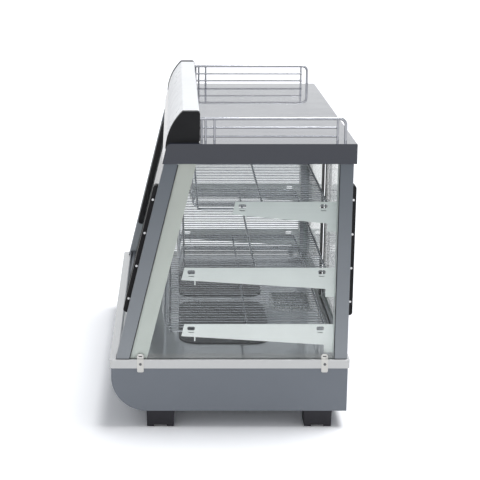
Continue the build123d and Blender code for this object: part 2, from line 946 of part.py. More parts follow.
def make_roof():
    """Painted roof shell with a flange turned in below."""
    with BuildPart() as roof:
        with BuildSketch(Plane.YZ.offset(-side_x)):
            roof_face(0)
        extrude(amount=width)
        with BuildSketch(Plane.YZ.offset(sheet - side_x)):
            roof_face(sheet)
        extrude(amount=width - 2 * sheet, mode=Mode.SUBTRACT)
        block(
            roof_flange_side - side_x,
            side_x - roof_flange_side,
            window_y(True, roof_front_depth, roof_bottom) + roof_flange_front,
            roof_rear - roof_flange_rear,
            roof_bottom,
            roof_bottom + sheet,
            Mode.SUBTRACT,
        )
    return roof.part


def make_roof_liner():
    """Ceiling of the cabinet, lying on the roof's inner flange."""
    bottom = roof_bottom + sheet
    margin = sheet + liner_side_play
    with BuildPart() as liner:
        block(
            margin - side_x,
            side_x - margin,
            window_y(True, roof_front_depth, bottom + liner_thickness) + margin,
            roof_rear - margin,
            bottom,
            bottom + liner_thickness,
        )
    return liner.part


lamp_y = front_y + lamp_front_inset


def make_cabinet_lamp():
    """Lamp bar under the ceiling, with a rounded cover below."""
    top = roof_bottom + sheet
    with BuildPart() as lamp:
        block(
            -lamp_length / 2,
            lamp_length / 2,
            lamp_y - lamp_width / 2,
            lamp_y + lamp_width / 2,
            top - lamp_height,
            top,
        )
        low_edges = lamp.edges().group_by(Axis.Z)[0].filter_by(Axis.X)
        fillet(low_edges, min(lamp_height, lamp_width) / 3)
    return lamp.part


# Sign box

sign_tip_z = roof_top - sign_tip_drop
sign_tip_y = window_y(True, roof_front_depth, sign_tip_z) - sign_front_gap
sign_top_front = sign_tip_y + sign_front_run
sign_rear = sign_top_front + sign_top_run
sign_chord = sqrt(sign_front_run**2 + (sign_top - sign_tip_z) ** 2)
sign_radius = (sign_chord**2 / 4 + sign_sagitta**2) / (2 * sign_sagitta)
sign_to_centre = (sign_radius - sign_sagitta) / sign_chord
sign_centre_y = (sign_tip_y + sign_top_front) / 2 + sign_to_centre * (sign_top - sign_tip_z)
sign_centre_z = (sign_tip_z + sign_top) / 2 - sign_to_centre * sign_front_run
sign_inner_radius = sign_radius - sign_cap_lip - sign_panel_thickness
sign_cap_inner_x = side_x - sign_side_inset - sign_cap_thickness


def sign_region(inset, low):
    """Draw the sign's side view above a level: a bowed front, a flat top and an upright rear."""
    front = sign_centre_y - sign_radius
    rear = sign_rear - inset
    high = sign_top - inset
    with Locations((sign_centre_y, sign_centre_z)):
        Circle(sign_radius - inset)
    with Locations(((front + rear) / 2, (low + high) / 2)):
        Rectangle(rear - front, high - low, mode=Mode.INTERSECT)
    roof_face(0, Mode.SUBTRACT)


def make_sign_caps():
    """Black end caps of the sign, with a lip over the roof's front edge."""
    with BuildPart() as caps:
        with BuildSketch(Plane.YZ.offset(sign_cap_inner_x)) as outline:
            sign_region(0, sign_tip_z)
            fillet(outline.vertices().group_by(Axis.X)[-1].sort_by(Axis.Y)[-1], sign_corner)
            chamfer(outline.vertices().group_by(Axis.X)[-1].sort_by(Axis.Y)[0], sign_foot)
        extrude(amount=sign_cap_thickness)
        mirror(about=Plane.YZ)
    return caps.part


def make_sign_panel():
    """Bowed white front panel of the sign."""
    with BuildPart() as panel:
        with BuildSketch(Plane.YZ.offset(-sign_cap_inner_x)):
            sign_region(sign_cap_lip, roof_top - sign_panel_drop)
            with Locations((sign_centre_y, sign_centre_z)):
                Circle(sign_inner_radius, mode=Mode.SUBTRACT)
        extrude(amount=2 * sign_cap_inner_x)
    return panel.part


def make_sign_housing():
    """Floor, rear and top of the sign, one white sheet bent round."""
    with BuildPart() as housing:
        with BuildSketch(Plane.YZ.offset(-sign_cap_inner_x)):
            sign_region(sign_cap_lip, roof_top)
            with Locations((sign_centre_y, sign_centre_z)):
                Circle(sign_inner_radius, mode=Mode.INTERSECT)
            inner = sign_cap_lip + sheet
            rear = sign_rear - inner
            high = sign_top - inner
            low = roof_top + sheet
            front = sign_centre_y - sign_radius
            with Locations(((front + rear) / 2, (low + high) / 2)):
                Rectangle(rear - front, high - low, mode=Mode.SUBTRACT)
        extrude(amount=2 * sign_cap_inner_x)
    return housing.part


def make_sign_lamp():
    """Lamp bar on the rear wall inside the sign."""
    rear = sign_rear - sign_cap_lip - sheet
    middle_z = (roof_top + sign_top) / 2
    reach = sign_cap_inner_x - sign_lamp_end_gap
    with BuildPart() as lamp:
        block(
            -reach,
            reach,
            rear - sign_lamp_depth,
            rear,
            middle_z - sign_lamp_height / 2,
            middle_z + sign_lamp_height / 2,
        )
        fillet(lamp.edges().group_by(Axis.Y)[0].filter_by(Axis.X), edge_round)
    return lamp.part


# Guard rails


def make_guard_rails():
    """Two welded rails on the roof, for trays that are put there."""
    x = side_x - rail_side_inset
    front = front_y + rail_front_inset
    second = front + rail_front_posts_gap
    inner_front = front_y + rail_inner_front_inset
    rear = rear_y - rail_rear_inset
    inner_rear = rear_y - rail_inner_rear_inset
    rod_z = roof_top + rail_height
    wire_x = x - rail_post_radius - rail_wire_radius + rail_weld
    with BuildPart() as rails:
        points = [(front - rail_rod_radius, rod_z), (rear, rod_z), (rear, roof_top)]
        rod(Plane.YZ.offset(x), points, rail_bend, rail_rod_radius)
        with Locations(*[(x, y, roof_top + rail_height / 2) for y in (front, second, inner_front, inner_rear)]):
            Cylinder(rail_post_radius, rail_height)
        wire_length = inner_rear - front + 2 * rail_rod_radius
        wire_y = (inner_rear + front) / 2
        wire_places = [Location((wire_x, wire_y, roof_top + rise), (90, 0, 180)) for rise in rail_wire_heights]
        with Locations(*wire_places):
            Cylinder(rail_wire_radius, wire_length)
        mirror(about=Plane.YZ)
    return rails.part


# Controls

control_z = foot_height + base_height / 2
control_face = base_rear - control_recess
gland_z = foot_height + gland_rise
knob_x = control_x + knob_offset
power_x, light_x = [control_x + offset for offset in switch_offsets]


def rear_plane(x, y, z):
    """Give a plane that faces the rear, with its own x to the left as seen from behind."""
    return Plane(origin=(x, y, z), x_dir=(-1, 0, 0), z_dir=(0, 1, 0))


def make_control_pan():
    """Recessed dish behind the rear panel that carries the knob and the switches."""
    panel_inner = base_rear - sheet
    with BuildPart() as pan:
        with BuildSketch(rear_plane(control_x, panel_inner, control_z)):
            Rectangle(control_width + 2 * control_flange, control_height + 2 * control_flange)
        extrude(amount=-control_wall)
        with BuildSketch(rear_plane(control_x, panel_inner, control_z)):
            Rectangle(control_width + 2 * control_wall, control_height + 2 * control_wall)
        extrude(amount=control_face - control_wall - panel_inner)
        with BuildSketch(rear_plane(control_x, panel_inner, control_z)):
            Rectangle(control_width, control_height)
        extrude(amount=control_face - panel_inner, mode=Mode.SUBTRACT)
        with BuildSketch(rear_plane(knob_x, control_face, control_z)):
            Circle(shaft_radius + play)
        extrude(amount=-control_wall, mode=Mode.SUBTRACT)
        for x in (power_x, light_x):
            with BuildSketch(rear_plane(x, control_face, control_z)):
                Rectangle(switch_width - 2 * switch_body_inset, switch_height - 2 * switch_body_inset)
            extrude(amount=-control_wall, mode=Mode.SUBTRACT)
    return pan.part


def make_thermostat_body():
    """Thermostat behind the control pan, with its shaft."""
    back = control_face - control_wall
    with BuildPart() as body:
        with BuildSketch(rear_plane(knob_x, back, control_z)):
            RectangleRounded(thermostat_size, thermostat_size, thermostat_size / 8)
        extrude(amount=-thermostat_depth)
        with BuildSketch(rear_plane(knob_x, back, control_z)):
            Circle(shaft_radius)
        extrude(amount=control_wall + shaft_height)
    return body.part


def make_knob():
    """Thermostat knob with a skirt, a grip waist and a pointer groove."""
    plane = rear_plane(knob_x, control_face + knob_floor_gap, control_z)
    with BuildPart() as knob:
        with BuildSketch(plane):
            Circle(knob_radius)
        extrude(amount=knob_skirt)
        with BuildSketch(plane.offset(knob_skirt)):
            Circle(knob_waist_radius)
        extrude(amount=knob_height - knob_skirt, taper=window_lean / 4)
        fillet(knob.edges().group_by(Axis.Y)[-1], edge_round)
        with BuildSketch(plane):
            Circle(shaft_radius + pin_play)
        extrude(amount=shaft_height, mode=Mode.SUBTRACT)
        with BuildSketch(plane.offset(knob_height)):
            with Locations((0, knob_waist_radius / 2)):
                Rectangle(knob_pointer_width, knob_waist_radius)
        extrude(amount=-knob_pointer_depth, mode=Mode.SUBTRACT)
    return knob.part


rocker_half = rocker_height / 2
rocker_end_rise = rocker_rise + rocker_half * tan(radians(rocker_tilt))
pocket_half = sqrt(rocker_half**2 + rocker_end_rise**2) + rocker_end_play - play


def rocker_pivot_y():
    """Give Y of the rockers' pivots."""
    return control_face + switch_bezel - rocker_pivot_drop


def make_switch_body(x):
    """Body of a rocker switch, with a bezel on the pan and a pocket for its rocker."""
    body_width = switch_width - 2 * switch_body_inset - 2 * play
    body_height = switch_height - 2 * switch_body_inset - 2 * play
    pocket_depth = rocker_pivot_drop + rocker_belly + rocker_half * sin(radians(rocker_tilt)) + play
    with BuildPart() as body:
        with BuildSketch(rear_plane(x, control_face, control_z)):
            RectangleRounded(switch_width, switch_height, 2 * edge_round)
        extrude(amount=switch_bezel)
        with BuildSketch(rear_plane(x, control_face, control_z)):
            Rectangle(body_width, body_height)
        extrude(amount=-switch_body_depth)
        with BuildSketch(rear_plane(x, control_face + switch_bezel, control_z)):
            Rectangle(rocker_width + 2 * play, 2 * pocket_half)
        extrude(amount=-pocket_depth, mode=Mode.SUBTRACT)
        with Locations(Location((x, rocker_pivot_y(), control_z), (0, 90, 0))):
            Cylinder(
                rocker_pin_radius + pin_play, rocker_width + 2 * (rocker_pin_reach + play), mode=Mode.SUBTRACT
            )
    return body.part


def make_rocker(x):
    """Rocker with a dished face and two pivot pins, lying tilted to its off side."""
    pivot_y = rocker_pivot_y()
    with BuildPart() as rocker:
        with BuildSketch(Plane.YZ.offset(x - rocker_width / 2)):
            with BuildLine():
                Polyline(
                    (pivot_y + rocker_rise, control_z),
                    (pivot_y + rocker_end_rise, control_z + rocker_half),
                    (pivot_y, control_z + rocker_half),
                    (pivot_y - rocker_belly, control_z),
                    (pivot_y, control_z - rocker_half),
                    (pivot_y + rocker_end_rise, control_z - rocker_half),
                    close=True,
                )
            make_face()
        extrude(amount=rocker_width)
        with Locations(Location((x, pivot_y, control_z), (0, 90, 0))):
            Cylinder(rocker_pin_radius, rocker_width + 2 * rocker_pin_reach)
    return rocker.part.rotate(Axis((x, pivot_y, control_z), (1, 0, 0)), rocker_tilt)


# Cable gland and terminal block


def make_cable_gland():
    """Cable gland in the rear panel, with its lock nut inside."""
    with BuildPart() as gland:
        with BuildSketch(rear_plane(gland_x, base_rear, gland_z)):
            RegularPolygon(gland_hex_radius, 6)
        extrude(amount=gland_hex_height)
        with BuildSketch(rear_plane(gland_x, base_rear + gland_hex_height, gland_z)):
            Circle(gland_dome_radius)
        extrude(amount=gland_dome_height)
        fillet(gland.edges().group_by(Axis.Y)[-1], 2 * edge_round)
        with BuildSketch(rear_plane(gland_x, base_rear, gland_z)):
            Circle(gland_thread_radius)
        extrude(amount=-gland_thread_length)
        with BuildSketch(rear_plane(gland_x, base_rear - sheet, gland_z)):
            RegularPolygon(gland_hex_radius, 6)
        extrude(amount=-gland_nut_height)
        with BuildSketch(rear_plane(gland_x, base_rear + gland_hex_height + gland_dome_height, gland_z)):
            Circle(gland_bore_radius)
        extrude(
            amount=-(gland_hex_height + gland_dome_height + gland_thread_length), mode=Mode.SUBTRACT
        )
    return gland.part


def make_terminal_block():
    """Terminal block on the floor of the base, with a row of screw wells."""
    floor = foot_height + sheet
    y = rear_y - terminal_rear_inset
    with BuildPart() as terminal:
        block(
            gland_x - terminal_length / 2,
            gland_x + terminal_length / 2,
            y - terminal_width / 2,
            y + terminal_width / 2,
            floor,
            floor + terminal_height,
        )
        with BuildSketch(Plane.XY.offset(floor + terminal_height)):
            with Locations((gland_x, y)):
                with GridLocations(terminal_length / terminal_poles, terminal_width / 2, terminal_poles, 2):
                    Circle(terminal_hole_radius)
        extrude(amount=-terminal_hole_depth, mode=Mode.SUBTRACT)
    return terminal.part


# Every piece is built and written

os.makedirs("parts", exist_ok=True)
sides = {"left": -1, "right": 1}
windows = {"front": True, "rear": False}

save(make_base_shell(), "base_shell")
save(make_base_rear(), "base_rear_panel")
save(make_feet(), "feet")
save(make_trim(), "trim_frame")
save(make_deck(), "deck_tray")
save(make_heat_plates(), "heating_plates")
save(make_elements(), "heating_elements")
save(make_shields(), "heat_shields")
save(make_water_pan(), "water_pan")
save(make_inner_strips(), "inner_strips")
save(make_clips(), "glass_clips")
save(make_clip_screws(), "clip_screws")
save(make_uprights(), "rack_uprights")
for side_name, side in sides.items():
    save(make_base_end(side), f"base_end_{side_name}")
    save(make_side_pane(side), f"side_glass_{side_name}")
    save(make_brackets(side), f"shelf_brackets_{side_name}")
for rack_name, level, depth in zip(("bottom", "middle", "top"), levels, rack_depths):
    save(make_rack(level, depth), f"rack_{rack_name}")
for window_name, front in windows.items():
    save(make_track(front, True), f"{window_name}_top_track")
    save(make_track(front, False), f"{window_name}_bottom_track")
    for side_name, side in sides.items():
        place = f"{window_name}_{side_name}"
        save(make_post(front, side), f"{window_name}_post_{side_name}")
        save(make_door_glass(front, side), f"door_glass_{place}")
        save(make_handle(front, side), f"door_handle_{place}")
        save(make_handle_screws(front, side), f"handle_screws_{place}")
save(make_roof(), "roof_shell")
save(make_roof_liner(), "roof_liner")
save(make_cabinet_lamp(), "cabinet_lamp")
save(make_sign_caps(), "sign_caps")
save(make_sign_panel(), "sign_panel")
save(make_sign_housing(), "sign_housing")
save(make_sign_lamp(), "sign_lamp")
save(make_guard_rails(), "guard_rails")
save(make_control_pan(), "control_pan")
save(make_thermostat_body(), "thermostat_body")
save(make_knob(), "thermostat_knob")
save(make_switch_body(power_x), "power_switch_body")
save(make_rocker(power_x), "power_rocker")
save(make_switch_body(light_x), "light_switch_body")
save(make_rocker(light_x), "light_rocker")
save(make_cable_gland(), "cable_gland")
save(make_terminal_block(), "terminal_block")
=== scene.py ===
from math import cos, pi, radians, sin, tan

import bmesh
import bpy
from mathutils import Matrix, Vector


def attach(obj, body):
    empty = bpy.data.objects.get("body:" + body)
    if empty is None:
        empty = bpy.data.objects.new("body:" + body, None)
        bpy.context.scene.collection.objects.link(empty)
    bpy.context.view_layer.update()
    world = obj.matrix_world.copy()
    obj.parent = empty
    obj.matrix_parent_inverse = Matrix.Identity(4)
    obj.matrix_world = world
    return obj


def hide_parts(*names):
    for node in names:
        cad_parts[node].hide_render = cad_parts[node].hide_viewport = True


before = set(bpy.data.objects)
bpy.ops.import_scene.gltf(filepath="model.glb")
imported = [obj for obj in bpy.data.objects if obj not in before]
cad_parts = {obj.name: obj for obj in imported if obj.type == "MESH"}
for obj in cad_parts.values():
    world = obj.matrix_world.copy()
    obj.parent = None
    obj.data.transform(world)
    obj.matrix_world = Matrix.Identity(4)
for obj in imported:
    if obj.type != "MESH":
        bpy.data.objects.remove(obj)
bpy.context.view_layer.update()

MM = 0.001
SIDES = {"left": -1, "right": 1}

# The counter's sizes in millimetres, as in the CAD model
SIDE_X = 430
SILL = 152
TRIM_BOTTOM = 133
ROOF_BOTTOM = 568.5
POST_FRONT = -240.95
POST_REAR = 243.15
POST_DEPTH = 27
POST_INNER_X = 396
POST_OUTER_X = 426
PANE_OUTER_X = 424
LEAN = radians(13.75)
BASE_REAR = 245.05
DECK_TOP = 150.8
GLASS = 4
DOOR_DEPTHS = {("front", 1): 4, ("front", -1): 14.5, ("rear", 1): 1.5, ("rear", -1): 12}
DOOR_EDGE_X = -12
DOOR_MIDDLE_Z = 357.5
HANDLE_X = 383
HANDLE_HEIGHTS = {"front": 379.1, "rear": 377}
HANDLE_WIDTH = 22
HANDLE_LENGTH = 283
HANDLE_THICKNESS = 13
HANDLE_ROUND = 9
HANDLE_SCREW_ROWS = (-109.05, -36.35, 36.35, 109.05)
HANDLE_SCREW_HEIGHT = 7.5
CLIP_YS = (-189.65, 195.75)
CLIP_SCREW_Z = 142.5
CLIP_WIDTH = 14
CLIP_ABOVE = 11
CLIP_BELOW = 8.5
CLIP_SHEET = 1.2
CONTROL_FACE = 236.05
CONTROL_Z = 84.75
KNOB_X = -192
KNOB_FLOOR_GAP = 0.6
ROCKERS = {"power_rocker": -262, "light_rocker": -308}
ROCKER_PIVOT_Y = 235.15
ROCKER_TILT = radians(10)
PLATE_LOW = (20, -106.65)
PLATE_HIGH = (325, 90.35)
PLATE_CORNER = 40
LAMP_Y = -44.65

# Sizes of the pieces that only the scene has, in millimetres
EDGE_STRIP_REACH = 192  # half the length, measured upright
EDGE_STRIP_GRIP = 8  # over the glass
EDGE_STRIP_WALL = 1
PANE_SEAL_REACH = 206  # half the length, measured upright
CLIP_SLOT_REACH = 3.6  # half the width
CLIP_SLOT_ROWS = (4.5, 6.7)  # above the sill
DIAL_STEP = radians(-30)
LAMP_CAP_REACH = 11.55  # half the width
PANEL_SCREW_XS = (-410, -110, 60, 235, 410)
PANEL_SCREW_ZS = (45.5, 123.5)
TO_X = (0, pi / 2, 0)  # turns that lay an upright round along X or Y
TO_Y = (pi / 2, 0, 0)

# Floor, surroundings and camera
FLOOR_WIDTH = 60  # metres
FLOOR_PAPER = (0.87, 0.87, 0.875, 1)
FLOOR_SHADE = (0.86, 0.86, 0.865, 1)
FLOOR_WHITE = (1.16, 1.17, 1.2, 1)  # as the camera sees it
SKY = (0.965, 0.98, 1, 1)
SKY_SEEN = 0.985
WORLD_LIGHT = 0.44
SCREEN_WAY = (1.0, 0.0, 0.12)  # from the counter to the dark screen
SCREEN_EDGES = (0.45, 0.85)
SCREEN_LIGHT = 0.35
LENS = 100.0125
CAMERA_SHIFT = 0.1348
CAMERA_DIP = 14.73  # degrees below level
CAMERA_PLACE = (3.0604, -0.11665, 1.1024)


# Colours


def seen(red, green, blue):
    """Turn a colour as seen on a screen, 0 to 255, into a shader's colour."""

    def part(value):
        share = value / 255
        return share / 12.92 if share <= 0.04045 else ((share + 0.055) / 1.055) ** 2.4

    return (part(red), part(green), part(blue), 1)


# Materials


class Finish:
    """A material with one Principled shader, and short ways to add its nodes."""

    def __init__(self, name):
        self.material = bpy.data.materials.new(name)
        self.material.use_nodes = True
        self.tree = self.material.node_tree
        self.shader = next(node for node in self.tree.nodes if node.type == "BSDF_PRINCIPLED")
        self.output = next(node for node in self.tree.nodes if node.type == "OUTPUT_MATERIAL")
        self.place = self.tree.nodes.new("ShaderNodeTexCoord").outputs["Object"]

    def add(self, kind, **values):
        """Add a node and set its values."""
        node = self.tree.nodes.new(kind)
        for name, value in values.items():
            setattr(node, name, value)
        return node

    def join(self, start, end):
        self.tree.links.new(start, end)

    def stretched(self, scale):
        """Give the place on the object, stretched along its axes."""
        mapping = self.add("ShaderNodeMapping")
        mapping.inputs["Scale"].default_value = scale
        self.join(self.place, mapping.inputs["Vector"])
        return mapping.outputs["Vector"]

    def noise(self, scale, detail, place=None):
        node = self.add("ShaderNodeTexNoise")
        node.inputs["Scale"].default_value = scale
        node.inputs["Detail"].default_value = detail
        node.inputs["Roughness"].default_value = 0.55
        self.join(place or self.place, node.inputs["Vector"])
        return node.outputs["Fac"]

    def span(self, value, low, high, start=0.3, end=0.7):
        """Carry a texture's value to a range of numbers."""
        node = self.add("ShaderNodeMapRange")
        node.inputs["From Min"].default_value = start
        node.inputs["From Max"].default_value = end
        node.inputs["To Min"].default_value = low
        node.inputs["To Max"].default_value = high
        self.join(value, node.inputs["Value"])
        return node.outputs["Result"]

    def blend(self, share, first, second):
        """Mix two colours by a texture's value. Each is a colour or a socket."""
        node = self.add("ShaderNodeMix", data_type="RGBA")
        self.join(share, node.inputs["Factor"])
        for socket, colour in ((node.inputs["A"], first), (node.inputs["B"], second)):
            socket = next(s for s in node.inputs if s.name == socket.name and s.type == "RGBA")
            if isinstance(colour, tuple):
                socket.default_value = colour
            else:
                self.join(colour, socket)
        return next(s for s in node.outputs if s.type == "RGBA")

    def multiply(self, first, second):
        """Multiply two colours."""
        node = self.add("ShaderNodeMix", data_type="RGBA", blend_type="MULTIPLY")
        colours = [socket for socket in node.inputs if socket.type == "RGBA"]
        node.inputs[0].default_value = 1.0
        self.join(first, colours[0])
        self.join(second, colours[1])
        return next(s for s in node.outputs if s.type == "RGBA")

    def between(self, share, first, second):
        """Mix two numbers by a share."""
        node = self.add("ShaderNodeMix", data_type="FLOAT")
        self.join(share, node.inputs["Factor"])
        self.join(first, node.inputs["A"])
        self.join(second, node.inputs["B"])
        return node.outputs["Result"]

    def painted_height_light(self, low, high):
        """Carry a colour from the floor up to another at the roof: painted light and shade that change
        with height.
        """
        parts = self.add("ShaderNodeSeparateXYZ")
        self.join(self.place, parts.inputs["Vector"])
        return self.blend(self.span(parts.outputs["Z"], 0, 1, SILL * MM, ROOF_BOTTOM * MM), low, high)

    def facing_up(self):
        """Give 1 on faces that look up and 0 on the others."""
        parts = self.add("ShaderNodeSeparateXYZ")
        self.join(self.add("ShaderNodeNewGeometry").outputs["Normal"], parts.inputs["Vector"])
        return self.span(parts.outputs["Z"], 0, 1, 0.6, 0.9)

    def bump(self, value, strength, distance):
        """Add relief in metres, on top of any relief added before."""
        node = self.add("ShaderNodeBump")
        node.inputs["Strength"].default_value = strength
        node.inputs["Distance"].default_value = distance
        self.join(value, node.inputs["Height"])
        if self.shader.inputs["Normal"].is_linked:
            self.join(self.shader.inputs["Normal"].links[0].from_socket, node.inputs["Normal"])
        self.join(node.outputs["Normal"], self.shader.inputs["Normal"])

    def set(self, **values):
        """Set the shader's own values, with _ for a space in a name."""
        for name, value in values.items():
            self.shader.inputs[name.replace("_", " ")].default_value = value

    def feed(self, name, socket):
        """Link a socket to one of the shader's inputs."""
        self.join(socket, self.shader.inputs[name])


def darker(colour, share):
    """Give a share of a colour."""
    return tuple(value * share for value in colour[:3]) + (1,)


def painted(name, low, high, roughness, top=None, coat=0.0, cloud=0.95):
    """Powder-coated sheet with faint clouds, orange peel and smears. Its colour changes with height, as
    painted light and shade, and faces that look up may take their own colour, a painted sheen.
    """
    finish = Finish(name)
    finish.set(IOR=1.45)
    if coat:
        finish.set(Coat_Weight=coat, Coat_Roughness=0.04)
    colour = finish.painted_height_light(low, high)
    if top:
        colour = finish.blend(finish.facing_up(), colour, top)
    clouds = finish.noise(7, 4)
    shade = finish.blend(finish.span(clouds, 0, 1), (1, 1, 1, 1), (cloud, cloud, cloud, 1))
    finish.feed("Base Color", finish.multiply(colour, shade))
    smears = finish.noise(26, 3, finish.stretched((1, 0.5, 1.6)))
    finish.feed("Roughness", finish.span(smears, roughness * 0.85, roughness * 1.15))
    finish.bump(finish.noise(1400, 2), 0.15, 0.00003)
    return finish.material


def brushed(name, low, high, roughness, along, mottled=0.94, metal=1.0, top_roughness=None):
    """Steel with fine lines along one axis, mottled, and shinier on top if wanted. Its colour changes with
    height, as painted light and shade.
    """
    finish = Finish(name)
    finish.set(Metallic=metal)
    scale = [600, 600, 600]
    scale["XYZ".index(along)] = 6
    lines = finish.noise(1, 2, finish.stretched(tuple(scale)))
    patches = finish.noise(16, 4)
    streaks = finish.blend(finish.span(lines, 0, 1), (1, 1, 1, 1), (0.95, 0.95, 0.95, 1))
    marks = finish.blend(finish.span(patches, 0, 1), streaks, (mottled, mottled, mottled, 1))
    finish.feed("Base Color", finish.multiply(finish.painted_height_light(low, high), marks))
    rough = finish.span(lines, roughness * 0.8, roughness * 1.2)
    if top_roughness:
        top = finish.span(lines, top_roughness * 0.8, top_roughness * 1.2)
        rough = finish.between(finish.facing_up(), rough, top)
    finish.feed("Roughness", rough)
    finish.bump(lines, 0.12, 0.00002)
    return finish.material


def mirror_sheet(name, colour, roughness):
    """Polished sheet with slow waves that bend what it mirrors, cloudy with wiping marks."""
    finish = Finish(name)
    finish.set(Metallic=0.4)
    patches = finish.noise(12, 4)
    finish.feed("Base Color", finish.blend(finish.span(patches, 0, 1), colour, darker(colour, 0.94)))
    wiped = finish.noise(9, 4, finish.stretched((1, 3, 1)))
    finish.feed("Roughness", finish.span(wiped, roughness, roughness * 2.2))
    finish.bump(finish.noise(11, 1, finish.stretched((1, 2.2, 1))), 1.0, 0.0007)
    return finish.material


def plated(name, colour, roughness):
    """Bright plating with a faintly uneven shine."""
    finish = Finish(name)
    finish.set(Metallic=1.0)
    spots = finish.noise(120, 3)
    finish.feed("Base Color", finish.blend(finish.span(spots, 0, 1), colour, darker(colour, 0.85)))
    finish.feed("Roughness", finish.span(spots, roughness * 0.7, roughness * 1.4))
    finish.bump(finish.noise(500, 2), 0.1, 0.00003)
    return finish.material


def moulded(name, colour, roughness, grain=0.00006, ior=1.5):
    """Moulded plastic with a fine grain, its depth in metres."""
    finish = Finish(name)
    finish.set(IOR=ior)
    clouds = finish.noise(40, 3)
    finish.feed("Base Color", finish.blend(finish.span(clouds, 0, 1), colour, darker(colour, 0.85)))
    finish.feed("Roughness", finish.span(clouds, roughness * 0.9, roughness * 1.1))
    finish.bump(finish.noise(900, 2), 0.35, grain)
    return finish.material


def clear_glass(name, tint, edge, across):
    """Clear pane with pale green edges: it mirrors more, the flatter it is looked at."""
    finish = Finish(name)
    through = finish.add("ShaderNodeBsdfTransparent")
    smudges = finish.noise(14, 4, finish.stretched((1, 1, 0.6)))
    finish.join(
        finish.blend(finish.span(smudges, 0, 1), tint, darker(tint, 0.985)), through.inputs["Color"]
    )
    mirror = finish.add("ShaderNodeBsdfGlossy")
    mirror.inputs["Roughness"].default_value = 0.02
    facing = finish.add("ShaderNodeLayerWeight")
    facing.inputs["Blend"].default_value = 0.5
    steep = finish.add("ShaderNodeMath", operation="POWER")
    steep.inputs[1].default_value = 5
    finish.join(facing.outputs["Facing"], steep.inputs[0])
    share = finish.add("ShaderNodeMath", operation="MULTIPLY_ADD")
    share.inputs[1].default_value = 0.9
    share.inputs[2].default_value = 0.02
    finish.join(steep.outputs[0], share.inputs[0])
    mix = finish.add("ShaderNodeMixShader")
    finish.join(share.outputs[0], mix.inputs["Fac"])
    finish.join(through.outputs[0], mix.inputs[1])
    finish.join(mirror.outputs[0], mix.inputs[2])
    finish.set(Roughness=0.1)
    finish.feed("Base Color", finish.blend(finish.span(smudges, 0, 1), edge, darker(edge, 0.9)))
    parts = finish.add("ShaderNodeSeparateXYZ")
    finish.join(finish.add("ShaderNodeNewGeometry").outputs["Normal"], parts.inputs["Vector"])
    size = finish.add("ShaderNodeMath", operation="ABSOLUTE")
    finish.join(parts.outputs[across], size.inputs[0])
    flat = finish.add("ShaderNodeMath", operation="GREATER_THAN")
    flat.inputs[1].default_value = 0.5
    finish.join(size.outputs[0], flat.inputs[0])
    whole = finish.add("ShaderNodeMixShader")
    finish.join(flat.outputs[0], whole.inputs["Fac"])
    finish.join(finish.shader.outputs[0], whole.inputs[1])
    finish.join(mix.outputs[0], whole.inputs[2])
    finish.join(whole.outputs[0], finish.output.inputs["Surface"])
    return finish.material


base_paint = painted("base_paint", seen(119, 125, 134), seen(114, 121, 130), roughness=0.45)
# The roof's faces that look up take a bluer tone than its sides: a painted sheen.
roof_paint = painted(
    "roof_paint",
    seen(36, 41, 54),
    seen(36, 41, 54),
    roughness=0.2,
    top=seen(36, 42, 62),
    coat=0.85,
    cloud=0.98,
)
# Lighter low down and darker towards the roof: painted light from the floor's bounce.
post_paint = painted("post_paint", seen(148, 153, 159), seen(96, 103, 111), roughness=0.42)
plate_black = painted("plate_black", seen(70, 74, 79), seen(70, 74, 79), roughness=0.32)
sheet_white = painted("sheet_white", seen(246, 248, 252), seen(246, 248, 252), roughness=0.4)
trim_steel = brushed(
    "trim_steel",
    seen(210, 211, 212),
    seen(210, 211, 212),
    roughness=0.4,
    along="X",
    mottled=0.95,
    metal=0.4,
    top_roughness=0.14,
)
clip_steel = brushed("clip_steel", seen(222, 221, 218), seen(222, 221, 218), 0.35, "Z", 0.95, 0.4)
# Lighter low down: painted light from the floor's bounce on the inner strips.
strip_steel = brushed("strip_steel", seen(212, 219, 214), seen(186, 190, 184), 0.45, "Z", 0.93, 0.2)
# Much lighter low down: painted light from the floor's bounce on the brackets and rack uprights.
bracket_steel = brushed("bracket_steel", seen(250, 255, 254), seen(182, 191, 190), 0.45, "Y", 0.95, 0.2)
pan_steel = brushed("pan_steel", seen(205, 208, 208), seen(205, 208, 208), 0.25, "X", 0.93)
dull_steel = brushed("dull_steel", seen(190, 192, 194), seen(190, 192, 194), 0.45, "Y", 0.9)
# Darker on the bottom tracks than on the top ones: painted shade.
track_metal = brushed("track_metal", seen(120, 125, 131), seen(180, 184, 188), 0.35, "X")
deck_steel = mirror_sheet("deck_steel", seen(204, 209, 214), 0.05)
chrome = plated("chrome", seen(172, 176, 181), 0.08)
rail_chrome = plated("rail_chrome", seen(182, 184, 190), 0.1)
screw_metal = plated("screw_metal", seen(225, 226, 228), 0.2)
screw_dark = plated("screw_dark", seen(120, 121, 124), 0.35)
handle_black = moulded("handle_black", seen(16, 16, 20), 0.4, ior=1.33)
cap_black = moulded("cap_black", seen(16, 17, 21), 0.5, ior=1.33)
foot_black = moulded("foot_black", seen(28, 27, 36), 0.55)
fitting_black = moulded("fitting_black", seen(34, 35, 38), 0.45)
rubber_black = moulded("rubber_black", seen(24, 25, 28), 0.6)
rocker_black = moulded("rocker_black", seen(28, 28, 31), 0.2, grain=0.00002)
sign_white = moulded("sign_white", seen(250, 252, 255), 0.3, grain=0.00002)
lamp_white = moulded("lamp_white", seen(244, 244, 240), 0.35, grain=0.00002)
mark_white = moulded("mark_white", seen(222, 222, 218), 0.5, grain=0.00002)
pane_glass = clear_glass("pane_glass", (0.993, 0.998, 0.996, 1), seen(168, 190, 184), "X")
door_glass = clear_glass("door_glass", (0.993, 0.998, 0.996, 1), seen(168, 190, 184), "Y")


# Modelling steps


